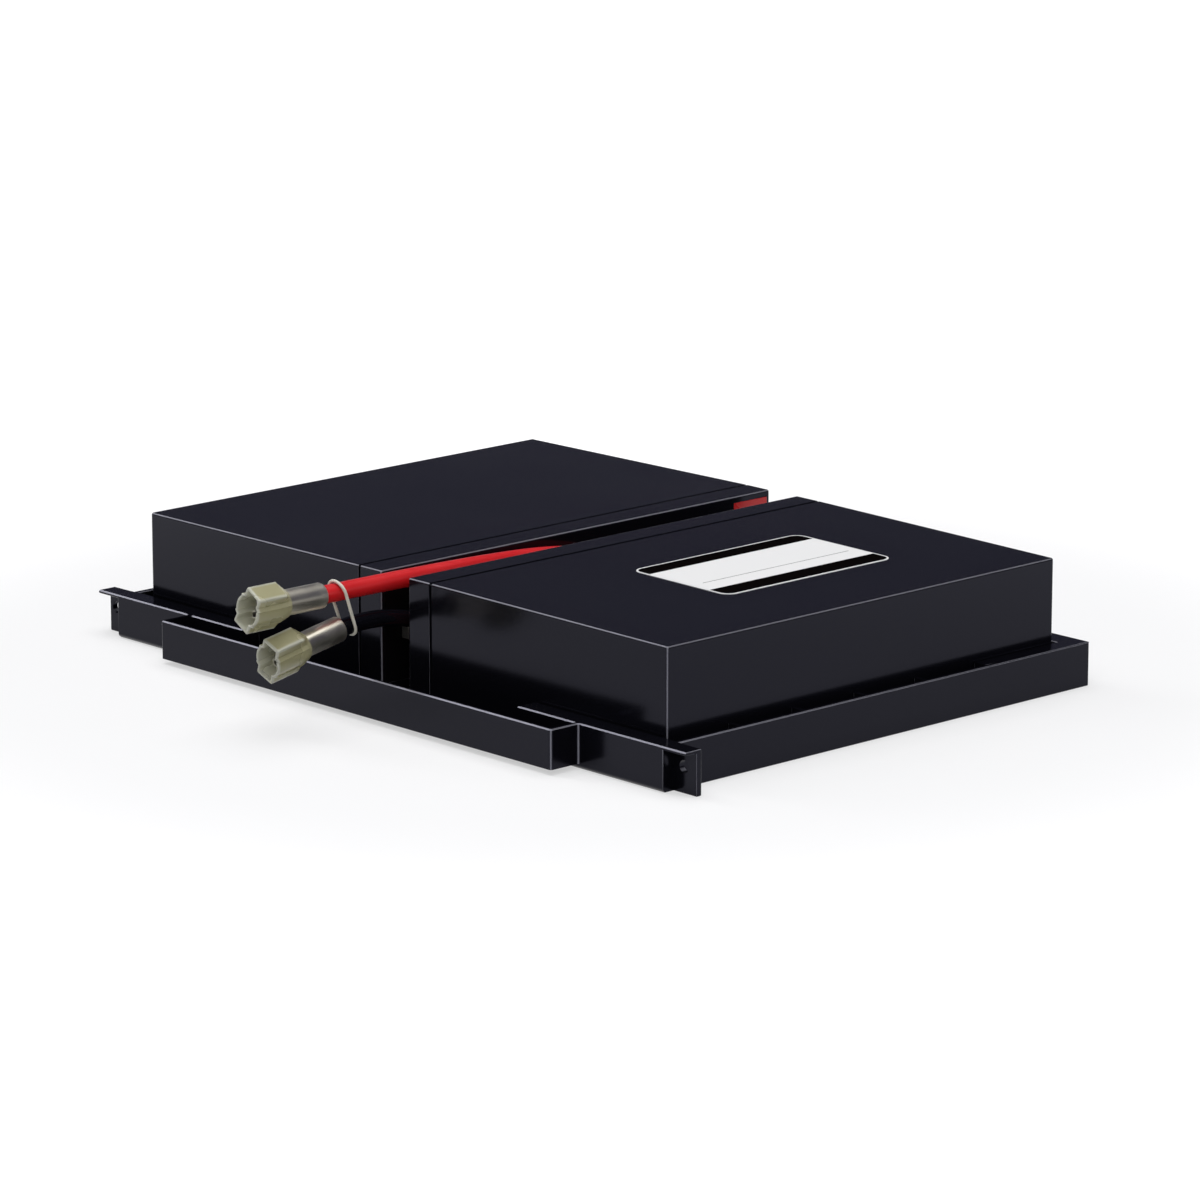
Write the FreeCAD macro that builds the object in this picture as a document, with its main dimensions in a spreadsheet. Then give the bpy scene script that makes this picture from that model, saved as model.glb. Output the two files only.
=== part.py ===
"""Battery cartridge of a rack UPS: two flat lead-acid batteries in a moulded tray, with two leads.

Millimetres, +Z up, X to the right, -Y to the front.  The origin is at the bottom of the cartridge, in
the middle of the tray with its front trough.  Every size is a cell of the sheet "sizes".
"""
import FreeCAD
import Part
import math
import os
import Sketcher
from FreeCAD import Vector

SIZES = [
    ("battery_length", 151.0, "battery along Y"),
    ("battery_height", 102.8, "battery from lid to bottom, lies along X"),
    ("battery_thickness", 34.5, "battery along Z, at its lid"),
    ("case_fall", 0.75, "case's upper face falls this much to the bottom"),
    ("case_taper", 0.78, "each end of the case comes in this much to the bottom"),
    ("wire_gap", 11.4, "between the two lids"),
    ("lid_depth", 8.7, "lid along X"),
    ("lid_groove", 1.0, "seam between lid and case"),
    ("case_wall", 2.2, "sides of the case"),
    ("case_bottom", 2.5, "bottom of the case"),
    ("partition", 1.6, "wall between two cells"),
    ("neck_step", 0.6, "how far the neck of the case is set in"),
    ("neck_length", 1.5, "neck that the lid is glued over"),
    ("battery_edge", 0.7, "rounding of the battery's edges"),
    ("lid_roof", 6.5, "lid's outer face to its underside"),
    ("cover_inset", 20.0, "vent cover from the battery's ends"),
    ("cover_width", 18.0, "vent cover along Z"),
    ("cover_thickness", 1.4, "vent cover"),
    ("cover_play", 0.2, "vent cover in its recess"),
    ("recess_depth", 2.6, "recess under the vent cover"),
    ("valve_radius", 4.0, "rubber valve pad under the vent cover"),
    ("vent_bore", 1.6, "radius of a cell's vent hole"),
    ("base_width", 13.4, "terminal base along Y"),
    ("base_inset", 2.0, "terminal base below the top face"),
    ("base_end", 1.2, "terminal base from the battery's end"),
    ("base_depth", 1.0, "terminal base set into the lid"),
    ("tab_width", 6.35, "spade tab"),
    ("tab_thickness", 0.8, "spade tab"),
    ("tab_length", 9.0, "folded part of the spade tab"),
    ("tab_stand", 2.0, "folded tab above the lid"),
    ("positive_plate", 3.0, "thickness of a positive plate"),
    ("negative_plate", 2.2, "thickness of a negative plate"),
    ("plate_play", 0.1, "plate stack in its cell"),
    ("plate_top", 20.0, "lid's outer face to the plates"),
    ("plate_foot", 2.5, "plates above the case bottom"),
    ("plate_side", 0.5, "plates from the cell's sides, along Y"),
    ("separator_rise", 1.0, "separator above the plates"),
    ("strap_width", 10.0, "lead strap along Y"),
    ("strap_depth", 4.0, "lead strap along X"),
    ("strap_side", 1.0, "lead strap from the cell's side"),
    ("lug_length", 3.0, "plate lug below the strap"),
    ("lug_side", 1.0, "plate lug narrower than its strap, each side"),
    ("post_width", 5.0, "lead post under a terminal"),
    ("weld_width", 4.0, "weld through a partition"),
    ("weld_root", 2.0, "weld inside a strap"),
    ("tray_height", 12.8, "tray, to the top of its rim"),
    ("tray_floor", 2.5, "tray"),
    ("tray_wall", 1.8, "tray"),
    ("side_trough", 4.6, "between battery and side wall"),
    ("battery_front_gap", 0.5, "between front rim and battery"),
    ("battery_play", 0.6, "between battery and rear rim or platform"),
    ("front_rim", 6.5, "front rim along Y"),
    ("rear_rim", 6.9, "rear rim along Y"),
    ("rim_skin", 2.0, "thickness of the rim's top"),
    ("platform_length", 33.25, "corner platforms from the battery's back, forward"),
    ("trough_rib", 1.2, "thickness of a rib in the side trough"),
    ("trough_rib_drop", 0.3, "rib's top below the rim"),
    ("trough_rib_pitch", 23.7, "from rib to rib"),
    ("wire_exit", 116.4, "opening in the front rim along X"),
    ("pocket_width", 164.8, "front trough along X, outside"),
    ("pocket_reach", 10.0, "front trough ahead of the front wall"),
    ("pocket_lift", 1.6, "front trough's underside above the tray's"),
    ("pocket_wall", 1.5, "front trough"),
    ("pocket_floor", 1.8, "front trough"),
    ("ear_width", 8.7, "screw ear beyond the side wall"),
    ("ear_depth", 5.9, "screw ear along Y"),
    ("ear_thickness", 1.75, "screw ear's upright plate"),
    ("ear_top", 1.0, "thickness of the screw ear's top"),
    ("ear_hole", 3.5, "diameter of the screw hole"),
    ("ear_hole_height", 7.4, "screw hole above the bottom"),
    ("ear_hole_out", 3.9, "right screw hole from the side wall"),
    ("ear_hole_out_left", 5.8, "left screw hole from the side wall"),
    ("foot_chamfer", 1.0, "bottom edge of the front wall"),
    ("corner_round", 0.8, "upright corners of the front trough"),
    ("rim_bevel", 0.35, "top edges of the tray"),
    ("tape_thickness", 1.0, "double-sided foam tape"),
    ("tape_width", 20.0, "foam tape along X"),
    ("tape_margin", 12.0, "foam tape from the battery's ends"),
    ("tape_share", 0.2, "foam tape's middle along the battery's height"),
    ("label_width", 38.4, "label along X"),
    ("label_length", 64.8, "label along Y"),
    ("label_thickness", 0.15, "label"),
    ("label_round", 3.5, "label's corners"),
    ("label_side", 35.1, "label from the lid's outer face"),
    ("label_front", 51.3, "label from the battery's front"),
    ("boot_width", 12.0, "connector boot, long way"),
    ("boot_thickness", 6.2, "connector boot, short way"),
    ("boot_round", 4.65, "radius of the boot's round middle"),
    ("boot_length", 12.8, "boot"),
    ("boot_flat", 10.2, "boot's flat sides before the taper"),
    ("boot_shoulder", 2.2, "taper of the boot's wings"),
    ("boot_shoulder_half", 3.5, "half the wings' width behind the taper"),
    ("boot_wall", 0.8, "boot"),
    ("boot_mouth", 9.4, "depth of the boot's mouth"),
    ("boot_tail", 4.2, "radius of the boot's rear end"),
    ("sleeve_radius", 3.6, "crimp sleeve"),
    ("sleeve_start", 9.9, "crimp sleeve behind the mouth"),
    ("sleeve_length", 16.4, "crimp sleeve"),
    ("sleeve_socket", 5.0, "lead inside the crimp sleeve"),
    ("socket_play", 0.1, "lead in the crimp sleeve, on the radius"),
    ("spade_start", 3.8, "spade receptacle behind the mouth"),
    ("spade_length", 5.0, "spade receptacle's rolled part"),
    ("spade_sheet", 0.5, "spade receptacle's sheet"),
    ("spade_half", 2.35, "middle of a connector's receptacle to its rolls"),
    ("clip_half", 2.9, "middle of a terminal clip to its rolls"),
    ("roll_radius", 1.25, "outside of a receptacle's roll"),
    ("roll_offset", 0.25, "middle of the rolls above the receptacle's middle"),
    ("roll_gap", 1.6, "opening of a roll"),
    ("spade_neck", 5.6, "receptacle's neck"),
    ("spade_lap", 1.0, "neck over the rolled part"),
    ("clip_barrel", 2.4, "corner radius of a terminal clip's hexagonal crimp"),
    ("clip_barrel_length", 7.0, "terminal clip's barrel"),
    ("clip_neck", 1.5, "terminal clip's neck before its barrel"),
    ("red_radius", 2.55, "red lead"),
    ("black_radius", 2.45, "black lead"),
    ("clip_run", 24.0, "lead's straight run at its terminal clip"),
    ("sleeve_run", 15.0, "black lead's straight run at its crimp sleeve"),
    ("tie_radius", 0.45, "half the tie's thickness"),
    ("tie_round_red", 3.4, "tie's bend round the red lead"),
    ("tie_round_black", 3.05, "tie's bend round the black lead"),
    ("upper_mouth_y", -123.65, "upper connector's mouth"),
    ("upper_mouth_z", 36.4, "upper connector's mouth"),
    ("upper_tilt", 0.0, "degrees"),
    ("upper_roll", 30.5, "degrees"),
    ("lower_mouth_y", -116.75, "lower connector's mouth"),
    ("lower_mouth_z", 20.95, "lower connector's mouth"),
    ("lower_tilt", 11.0, "degrees"),
    ("lower_roll", 27.0, "degrees"),
]

# Points of the leads' centre lines between their straight ends, from the terminal clip forward.
RED_MIDDLE = [(-1.0, 2.0, 33.1), (0.0, -48.0, 36.4)]
BLACK_MIDDLE = [(1.525, -13.375, 21.825), (0.0, -58.0, 22.9)]
TIE_TOP = Vector(0.0, -91.3, 36.4)
TIE_BOTTOM = Vector(0.0, -87.8, 26.58)
BEND_SHARE = 0.45
OVERCUT = "0.01"
NEAR = 0.02

doc = FreeCAD.newDocument("battery_cartridge")
sheet = doc.addObject("Spreadsheet::Sheet", "sizes")
for row, (alias, number, note) in enumerate(SIZES, start=1):
    sheet.set("A%d" % row, alias)
    sheet.set("B%d" % row, str(number))
    sheet.set("C%d" % row, note)
    sheet.setAlias("B%d" % row, alias)
doc.recompute()

NODES = {}


def value(alias):
    """Number in the sheet's cell."""
    return float(sheet.get(alias))


def cells(text):
    """Expression in which every bare name of a size is looked up in the sheet."""
    for alias in sorted((name for name, _, _ in SIZES), key=len, reverse=True):
        text = text.replace("<" + alias + ">", "sizes." + alias)
    return text


def number(text):
    """Number that an expression of sizes gives."""
    return float(sheet.evalExpression(cells(text)))


TOTAL_LENGTH = ("(<pocket_reach>+<front_rim>+<battery_front_gap>+<battery_length>"
                "+<battery_play>+<rear_rim>)")
FRONT = "(-%s/2)" % TOTAL_LENGTH
WALL_FACE = "(%s+<pocket_reach>)" % FRONT
RIM_BACK = "(%s+<front_rim>)" % WALL_FACE
BATTERY_FRONT = "(%s+<battery_front_gap>)" % RIM_BACK
BATTERY_BACK = "(%s+<battery_length>)" % BATTERY_FRONT
REAR_RIM = "(%s+<battery_play>)" % BATTERY_BACK
BACK = "(%s/2)" % TOTAL_LENGTH
SIDE = "(<wire_gap>/2+<battery_height>)"
WALL_IN = "(%s+<side_trough>)" % SIDE
WALL_OUT = "(%s+<tray_wall>)" % WALL_IN
BATTERY_FOOT = "(<tray_floor>+<tape_thickness>)"
BATTERY_TOP = "(%s+<battery_thickness>)" % BATTERY_FOOT
CELL = "((<battery_length>-2*<case_wall>-2*<partition>)/3)"


def bind(thing, **expressions):
    """Tie properties to sizes; in a property's name, __ stands for a dot."""
    for name, text in expressions.items():
        thing.setExpression(name.replace("__", "."), cells(text))


def add(kind, name, **expressions):
    """New object of the document with bound properties."""
    thing = doc.addObject(kind, name)
    bind(thing, **expressions)
    return thing


def node(thing, name):
    """Name a finished sub-part."""
    thing.Label = name
    NODES[name] = thing
    return thing


def box(name, x, y, z):
    """Box between two corners, each given as a pair of expressions along X, Y and Z."""
    return add("Part::Box", name,
               Length="(%s)-(%s)" % (x[1], x[0]), Width="(%s)-(%s)" % (y[1], y[0]),
               Height="(%s)-(%s)" % (z[1], z[0]),
               Placement__Base__x=x[0], Placement__Base__y=y[0], Placement__Base__z=z[0])


def rod(name, radius, height, x="0", y="0", z="0", axis="z"):
    """Cylinder that starts at x, y, z and runs along an axis."""
    turn = {"z": "0", "x": "90", "y": "-90"}[axis]
    about = "vector(0;1;0)" if axis == "x" else "vector(1;0;0)"
    place = "placement(vector(%s;%s;%s);rotation(%s;%s))" % (x, y, z, about, turn)
    return add("Part::Cylinder", name, Radius=radius, Height=height, Placement=place)


def prism(name, sides, radius, height, x="0", y="0", z="0", axis="z"):
    """Prism of a regular polygon that starts at x, y, z and runs along an axis."""
    turn = "90" if axis == "x" else "0"
    place = "placement(vector(%s;%s;%s);rotation(vector(0;1;0);%s))" % (x, y, z, turn)
    return add("Part::Prism", name, Polygon=str(sides), Circumradius=radius, Height=height,
               Placement=place)


def fuse(name, things):
    """One solid from several."""
    union = doc.addObject("Part::MultiFuse", name)
    union.Shapes = things
    union.Refine = True
    return union


def cut(name, base, tools):
    """Base less the tools."""
    result = doc.addObject("Part::Cut", name)
    result.Base = base
    result.Tool = tools[0] if len(tools) == 1 else fuse(name + "_tools", tools)
    result.Refine = True
    return result


def group(name, things):
    """Several separate solids as one sub-part."""
    several = doc.addObject("Part::Compound", name)
    several.Links = things
    return several


# ---------------------------------------------------------------- sketches and features of a body

def origin_plane(body, role):
    """Origin plane of a body, by its role."""
    return next(f for f in body.Origin.OriginFeatures if f.Role == role)


def sketch_on(body, name, role, offset):
    """Empty sketch on an origin plane, moved along the plane's normal."""
    sketch = body.newObject("Sketcher::SketchObject", name)
    sketch.AttachmentSupport = [(origin_plane(body, role), "")]
    sketch.MapMode = "FlatFace"
    bind(sketch, AttachmentOffset__Base__z=offset)
    return sketch


def rectangle(sketch, x, y):
    """Rectangle between x[0], y[0] and x[1], y[1]."""
    now = [float(sketch.evalExpression(cells(text))) for text in (*x, *y)]
    corners = [Vector(now[0], now[2], 0), Vector(now[1], now[2], 0),
               Vector(now[1], now[3], 0), Vector(now[0], now[3], 0)]
    first = sketch.GeometryCount
    for k in range(4):
        sketch.addGeometry(Part.LineSegment(corners[k], corners[(k + 1) % 4]))
    for k in range(4):
        sketch.addConstraint(Sketcher.Constraint("Coincident", first + k, 2, first + (k + 1) % 4, 1))
        direction = "Vertical" if k % 2 else "Horizontal"
        sketch.addConstraint(Sketcher.Constraint(direction, first + k))
    for corner, number in ((0, 0), (2, 1)):
        for kind, pair in (("DistanceX", x), ("DistanceY", y)):
            start = corners[corner].x if kind == "DistanceX" else corners[corner].y
            index = sketch.addConstraint(
                Sketcher.Constraint(kind, -1, 1, first + corner, 1, start))
            sketch.setExpression("Constraints[%d]" % index, cells(pair[number]))


def circle(sketch, x, y, radius):
    """Circle at x, y."""
    now = [float(sketch.evalExpression(cells(text))) for text in (x, y, radius)]
    index = sketch.addGeometry(Part.Circle(Vector(now[0], now[1], 0), Vector(0, 0, 1), now[2]))
    for kind, text, start in (("DistanceX", x, now[0]), ("DistanceY", y, now[1])):
        number = sketch.addConstraint(Sketcher.Constraint(kind, -1, 1, index, 3, start))
        sketch.setExpression("Constraints[%d]" % number, cells(text))
    number = sketch.addConstraint(Sketcher.Constraint("Radius", index, now[2]))
    sketch.setExpression("Constraints[%d]" % number, cells(radius))


def pad(body, name, rectangles, base, height, role="XY_Plane"):
    """Pad of some rectangles from a level, along the plane's normal."""
    sketch = sketch_on(body, name + "_sketch", role, base)
    for x, y in rectangles:
        rectangle(sketch, x, y)
    feature = body.newObject("PartDesign::Pad", name)
    feature.Profile = sketch
    bind(feature, Length=height)
    return feature


def pocket(body, name, rectangles, start, depth, upward=False, role="XY_Plane"):
    """Pocket of some rectangles, down from a level or upward from it."""
    sketch = sketch_on(body, name + "_sketch", role, start)
    for x, y in rectangles:
        rectangle(sketch, x, y)
    feature = body.newObject("PartDesign::Pocket", name)
    feature.Profile = sketch
    feature.Reversed = upward
    bind(feature, Length=depth)
    return feature


def dress(body, kind, name, test, **size):
    """Fillet or chamfer on the edges of the body's last feature that pass a test."""
    doc.recompute()
    base = body.Tip
    edges = ["Edge%d" % (k + 1) for k, edge in enumerate(base.Shape.Edges) if test(edge)]
    if not edges:
        raise RuntimeError("no edge for " + name)
    feature = body.newObject(kind, name)
    feature.Base = (base, edges)
    bind(feature, **size)
    return feature


def mid(edge):
    """Middle of an edge."""
    return edge.valueAt((edge.FirstParameter + edge.LastParameter) / 2)


def runs_along(edge, axis):
    """True for a straight edge along an axis."""
    if not isinstance(edge.Curve, Part.Line):
        return False
    return abs(edge.Curve.Direction.dot(axis)) > 0.999


def both_sides(x):
    """The same range on the right and on the left."""
    return [x, ("-(%s)" % x[1], "-(%s)" % x[0])]


# ------------------------------------------------------------------------------------------ tray

def tray():
    """Moulded tray: bay, hollow rims, side troughs with ribs, front trough and screw ears."""
    body = doc.addObject("PartDesign::Body", "tray_body")
    width = ("-" + WALL_OUT, WALL_OUT)
    ear_out = "(%s+<ear_width>)" % WALL_OUT
    pad(body, "tray_block", [(width, (WALL_FACE, BACK))], "0", "<tray_height>")
    pocket_x = ("-<pocket_width>/2", "<pocket_width>/2")
    pad(body, "front_trough", [(pocket_x, (FRONT, WALL_FACE + "+<tray_wall>"))],
        "<pocket_lift>", "<tray_height>-<pocket_lift>")
    inside = "%s-<tray_wall>" % WALL_OUT
    ear_back = "(%s+<ear_depth>)" % WALL_FACE
    pad(body, "ear_tops", [(x, (WALL_FACE, ear_back)) for x in both_sides((inside, ear_out))],
        "<tray_height>-<ear_top>", "<ear_top>")
    pad(body, "ear_plates",
        [(x, (ear_back + "-<ear_thickness>", ear_back)) for x in both_sides((inside, ear_out))],
        "0", "<tray_height>")

    bay_depth = "<tray_height>-<tray_floor>"
    platform = "%s-<platform_length>" % BATTERY_BACK
    pocket(body, "bay", [(("-" + WALL_IN, WALL_IN), (RIM_BACK, platform))], "<tray_height>", bay_depth)
    bay_side = "(%s+<battery_play>)" % SIDE
    pocket(body, "bay_back", [(("-" + bay_side, bay_side), (platform + "-" + OVERCUT, REAR_RIM))],
           "<tray_height>", bay_depth)

    trough_floor = "(<pocket_lift>+<pocket_floor>)"
    trough_x = ("-(<pocket_width>/2-<pocket_wall>)", "<pocket_width>/2-<pocket_wall>")
    pocket(body, "front_trough_hollow", [(trough_x, (FRONT + "+<pocket_wall>", WALL_FACE))],
           "<tray_height>", "<tray_height>-" + trough_floor)
    exit_y = ("%s-%s" % (WALL_FACE, OVERCUT), "%s+%s" % (RIM_BACK, OVERCUT))
    pocket(body, "wire_exit", [(("-<wire_exit>/2", "<wire_exit>/2"), exit_y)],
           "<tray_height>", "<tray_height>-" + trough_floor)

    # The rims and platforms are hollow from below, with an even wall.
    hollow = "<tray_height>-<rim_skin>"
    front_x = both_sides(("<wire_exit>/2+<tray_wall>", "%s-<tray_wall>" % WALL_OUT))
    pocket(body, "front_rim_hollow",
           [(x, (WALL_FACE + "+<tray_wall>", RIM_BACK + "-<tray_wall>")) for x in front_x],
           "0", hollow, upward=True)
    pocket(body, "rear_rim_hollow",
           [(("-" + WALL_IN, WALL_IN), (REAR_RIM + "+<tray_wall>", BACK + "-<tray_wall>"))],
           "0", hollow, upward=True)
    platform_x = both_sides((bay_side + "+<tray_wall>", WALL_IN))
    pocket(body, "platform_hollow",
           [(x, (platform + "+<tray_wall>", REAR_RIM)) for x in platform_x],
           "0", hollow, upward=True)

    # Cross ribs locate the batteries between the side walls.
    rib_first = "(%s-4*<trough_rib_pitch>)" % platform
    rib_x = both_sides((SIDE + "+<battery_play>/2", WALL_IN + "+<tray_wall>/2"))
    ribs = pad(body, "trough_ribs", [(x, (rib_first, rib_first + "+<trough_rib>")) for x in rib_x],
               "<tray_floor>/2", "<tray_height>-<trough_rib_drop>-<tray_floor>/2")
    doc.recompute()
    pattern = body.newObject("PartDesign::LinearPattern", "trough_rib_row")
    pattern.Originals = [ribs]
    pattern.Direction = (origin_plane(body, "Y_Axis"), [""])
    pattern.Occurrences = 4
    bind(pattern, Length="3*<trough_rib_pitch>")
    body.Tip = pattern

    holes = sketch_on(body, "ear_hole_sketch", "XZ_Plane", "-(%s)" % ear_back)
    for x in ("%s+<ear_hole_out>" % WALL_OUT, "-(%s+<ear_hole_out_left>)" % WALL_OUT):
        circle(holes, x, "<ear_hole_height>", "<ear_hole>/2")
    drill = body.newObject("PartDesign::Pocket", "ear_holes")
    drill.Profile = holes
    drill.Midplane = True
    bind(drill, Length="4*<ear_thickness>")
    doc.recompute()

    front, wall_face, wall_out = number(FRONT), number(WALL_FACE), number(WALL_OUT)
    half = value("pocket_width") / 2
    top = value("tray_height")

    def upright_corner(edge):
        """Outer corners of the front trough and where it meets the front wall."""
        place = mid(edge)
        return (runs_along(edge, Vector(0, 0, 1)) and abs(abs(place.x) - half) < NEAR
                and min(abs(place.y - front), abs(place.y - wall_face)) < NEAR)

    def foot(edge):
        """Bottom edge of the front wall and of its two ends."""
        place = mid(edge)
        along = runs_along(edge, Vector(1, 0, 0)) and abs(place.y - wall_face) < NEAR
        return along and abs(place.z) < NEAR

    def rim_edge(edge):
        """Top edges that face outwards."""
        place = mid(edge)
        if abs(place.z - top) > NEAR:
            return False
        along = runs_along(edge, Vector(1, 0, 0)) and (place.y < wall_face + NEAR)
        outside = abs(place.x) > wall_out - NEAR and place.y > wall_face + value("ear_depth") - NEAR
        return along or (runs_along(edge, Vector(0, 1, 0)) and outside)

    dress(body, "PartDesign::Fillet", "trough_corners", upright_corner, Radius="<corner_round>")
    dress(body, "PartDesign::Chamfer", "foot_chamfers", foot, Size="<foot_chamfer>")
    dress(body, "PartDesign::Chamfer", "rim_bevels", rim_edge, Size="<rim_bevel>")
    return node(body, "tray")


# ------------------------------------------------------------------------------------- batteries

def battery_place(side):
    """Placement of a battery: x runs from the lid's outer face to the bottom, y along its length."""
    if side == "right":
        return "placement(vector(<wire_gap>/2;%s;%s);rotation(vector(0;0;1);0))" % (
            BATTERY_FRONT, BATTERY_FOOT)
    return "placement(vector(-<wire_gap>/2;%s;%s);rotation(vector(0;0;1);180))" % (
        BATTERY_BACK, BATTERY_FOOT)


def seat(thing, side, name):
    """Put a battery's sub-part into place and name it."""
    bind(thing, Placement=battery_place(side))
    return node(thing, side + "_" + name)


def rounded(name, block, radius, test):
    """Block with the edges that pass a test rounded."""
    doc.recompute()
    edges = [(k + 1, radius, radius) for k, edge in enumerate(block.Shape.Edges) if test(edge)]
    result = doc.addObject("Part::Fillet", name)
    result.Base = block
    result.Edges = edges
    return result


def cell_start(k):
    """Where cell k begins along the battery."""
    return "(<case_wall>+%d*(%s+<partition>))" % (k, CELL)


INNER = ("<case_wall>", "<battery_thickness>-<case_wall>")
MIDDLE = "<battery_thickness>/2"
NECK_START = "(<lid_depth>-<neck_length>)"
STRAP_START = "(<plate_top>-<lug_length>-<strap_depth>)"
WELD_X = (STRAP_START, STRAP_START + "+<strap_depth>")
WELD_Z = (MIDDLE + "-<weld_width>/2", MIDDLE + "+<weld_width>/2")


def battery_case(side):
    """Open case with a neck for the lid, three cells and a weld hole in each partition."""
    name = side + "_case"
    start = "(<lid_depth>+<lid_groove>)"
    block = add("Part::Wedge", name + "_block", Ymin=start, Ymax="<battery_height>",
                Xmin="-<battery_length>", Xmax="0", Zmin="0", Zmax="<battery_thickness>",
                X2min="<case_taper>-<battery_length>", X2max="-<case_taper>",
                Z2min="0", Z2max="<battery_thickness>-<case_fall>",
                Placement="placement(vector(0;0;0);rotation(vector(0;0;1);-90))")
    mouth = value("lid_depth") + value("lid_groove")
    block = rounded(name + "_rounded", block, value("battery_edge"),
                    lambda edge: mid(edge).x > mouth + NEAR and mid(edge).z > NEAR)
    inset = ("<neck_step>", "<battery_length>-<neck_step>")
    neck = box(name + "_neck", (NECK_START, start), inset,
               ("<neck_step>", "<battery_thickness>-<neck_step>"))
    tools = []
    for k in range(3):
        tools.append(box("%s_cell_%d" % (name, k), (NECK_START, "<battery_height>-<case_bottom>"),
                         (cell_start(k), "%s+%s" % (cell_start(k), CELL)), INNER))
    tools.append(box(name + "_weld_hole", WELD_X, ("2*<case_wall>", "<battery_length>-2*<case_wall>"),
                     WELD_Z))
    return seat(cut(name + "_shell", fuse(name + "_solid", [block, neck]), tools), side, "case")


def battery_lid(side):
    """Lid with a rebate for the neck, the vent recess, terminal recesses and tab slots."""
    name = side + "_lid"
    block = box(name + "_block", ("0", "<lid_depth>"), ("0", "<battery_length>"),
                ("0", "<battery_thickness>"))
    back = value("lid_depth")
    block = rounded(name + "_rounded", block, value("battery_edge"),
                    lambda edge: mid(edge).x < back - NEAR and mid(edge).z > NEAR)
    cover_y = ("<cover_inset>", "<battery_length>-<cover_inset>")
    cover_z = ("<battery_thickness>/2-<cover_width>/2", "<battery_thickness>/2+<cover_width>/2")
    tools = [
        box(name + "_hollow", ("<lid_roof>", "<lid_depth>"),
            ("<case_wall>", "<battery_length>-<case_wall>"), INNER),
        box(name + "_rebate", (NECK_START, "<lid_depth>"), ("<neck_step>", "<battery_length>-<neck_step>"),
            ("<neck_step>", "<battery_thickness>-<neck_step>")),
        box(name + "_recess", ("0", "<recess_depth>"), cover_y, cover_z),
    ]
    for k in range(3):
        tools.append(prism("%s_vent_%d" % (name, k), 8, "<vent_bore>", "<lid_depth>", "0",
                           vent_middle(k), MIDDLE, "x"))
    for place, y in base_ranges().items():
        tools.append(box("%s_%s_recess" % (name, place), ("0", "<base_depth>"), y, base_height()))
        tools.append(box("%s_%s_slot" % (name, place), ("0", "<lid_roof>"), stem_range(place), tab_height()))
    return seat(cut(name + "_shell", block, tools), side, "lid")


def vent_middle(k):
    """Vent of cell k along the battery; the three are closer than the cells, for the cover."""
    return "(<battery_length>/2+%d*(%s+<partition>)*0.65)" % (k - 1, CELL)


def base_ranges():
    """Terminal bases along the battery: the positive one at the start, the negative at the end."""
    far = "(<battery_length>-<base_end>)"
    return {"positive": ("<base_end>", "<base_end>+<base_width>"),
            "negative": (far + "-<base_width>", far)}


def base_height():
    """Terminal bases across the battery."""
    return ("<base_inset>", "<battery_thickness>-<base_inset>")


def base_middle(place):
    """Middle of a terminal base along the battery."""
    low, high = base_ranges()[place]
    return "((%s)+(%s))/2" % (low, high)


def stem_range(place):
    """Tab's stem along the battery."""
    centre = base_middle(place)
    return (centre + "-<tab_thickness>/2", centre + "+<tab_thickness>/2")


def tab_height():
    """Tab across the battery."""
    return (MIDDLE + "-<tab_width>/2", MIDDLE + "+<tab_width>/2")


def terminal(side, place):
    """Coloured base in the lid and its folded spade tab."""
    name = "%s_%s" % (side, place)
    stem_y = stem_range(place)
    plate = box(name + "_base_plate", ("0", "<base_depth>"), base_ranges()[place], base_height())
    slot = box(name + "_base_slot", ("0", "<base_depth>"), stem_y, tab_height())
    seat(cut(name + "_base_cut", plate, [slot]), side, place + "_base")
    stem = box(name + "_stem", ("-<tab_stand>-<tab_thickness>", "<lid_roof>"), stem_y, tab_height())
    if place == "positive":
        folded_y = (stem_y[0], stem_y[0] + "+<tab_length>")
    else:
        folded_y = (stem_y[1] + "-<tab_length>", stem_y[1])
    folded = box(name + "_folded", ("-<tab_stand>-<tab_thickness>", "-<tab_stand>"), folded_y,
                 tab_height())
    seat(fuse(name + "_tab_sheet", [stem, folded]), side, place + "_tab")


def vent_parts(side):
    """Vent cover strip and the three rubber valve pads below it."""
    name = side + "_vent"
    play = "<cover_play>"
    cover = box(name + "_strip", ("0", "<cover_thickness>"),
                ("<cover_inset>+" + play, "<battery_length>-<cover_inset>-" + play),
                (MIDDLE + "-<cover_width>/2+" + play, MIDDLE + "+<cover_width>/2-" + play))
    seat(group(name + "_cover", [cover]), side, "vent_cover")
    pads = [prism("%s_valve_%d" % (name, k), 8, "<valve_radius>", "<recess_depth>-<cover_thickness>",
                  "<cover_thickness>", vent_middle(k), MIDDLE, "x") for k in range(3)]
    seat(group(name + "_valves", pads), side, "valve_caps")


POSITIVES = 3
SEPARATOR = "((%s-(%s)-%d*<negative_plate>-%d*<positive_plate>-<plate_play>)/%d)" % (
    INNER[1], INNER[0], POSITIVES + 1, POSITIVES, 2 * POSITIVES)


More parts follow.
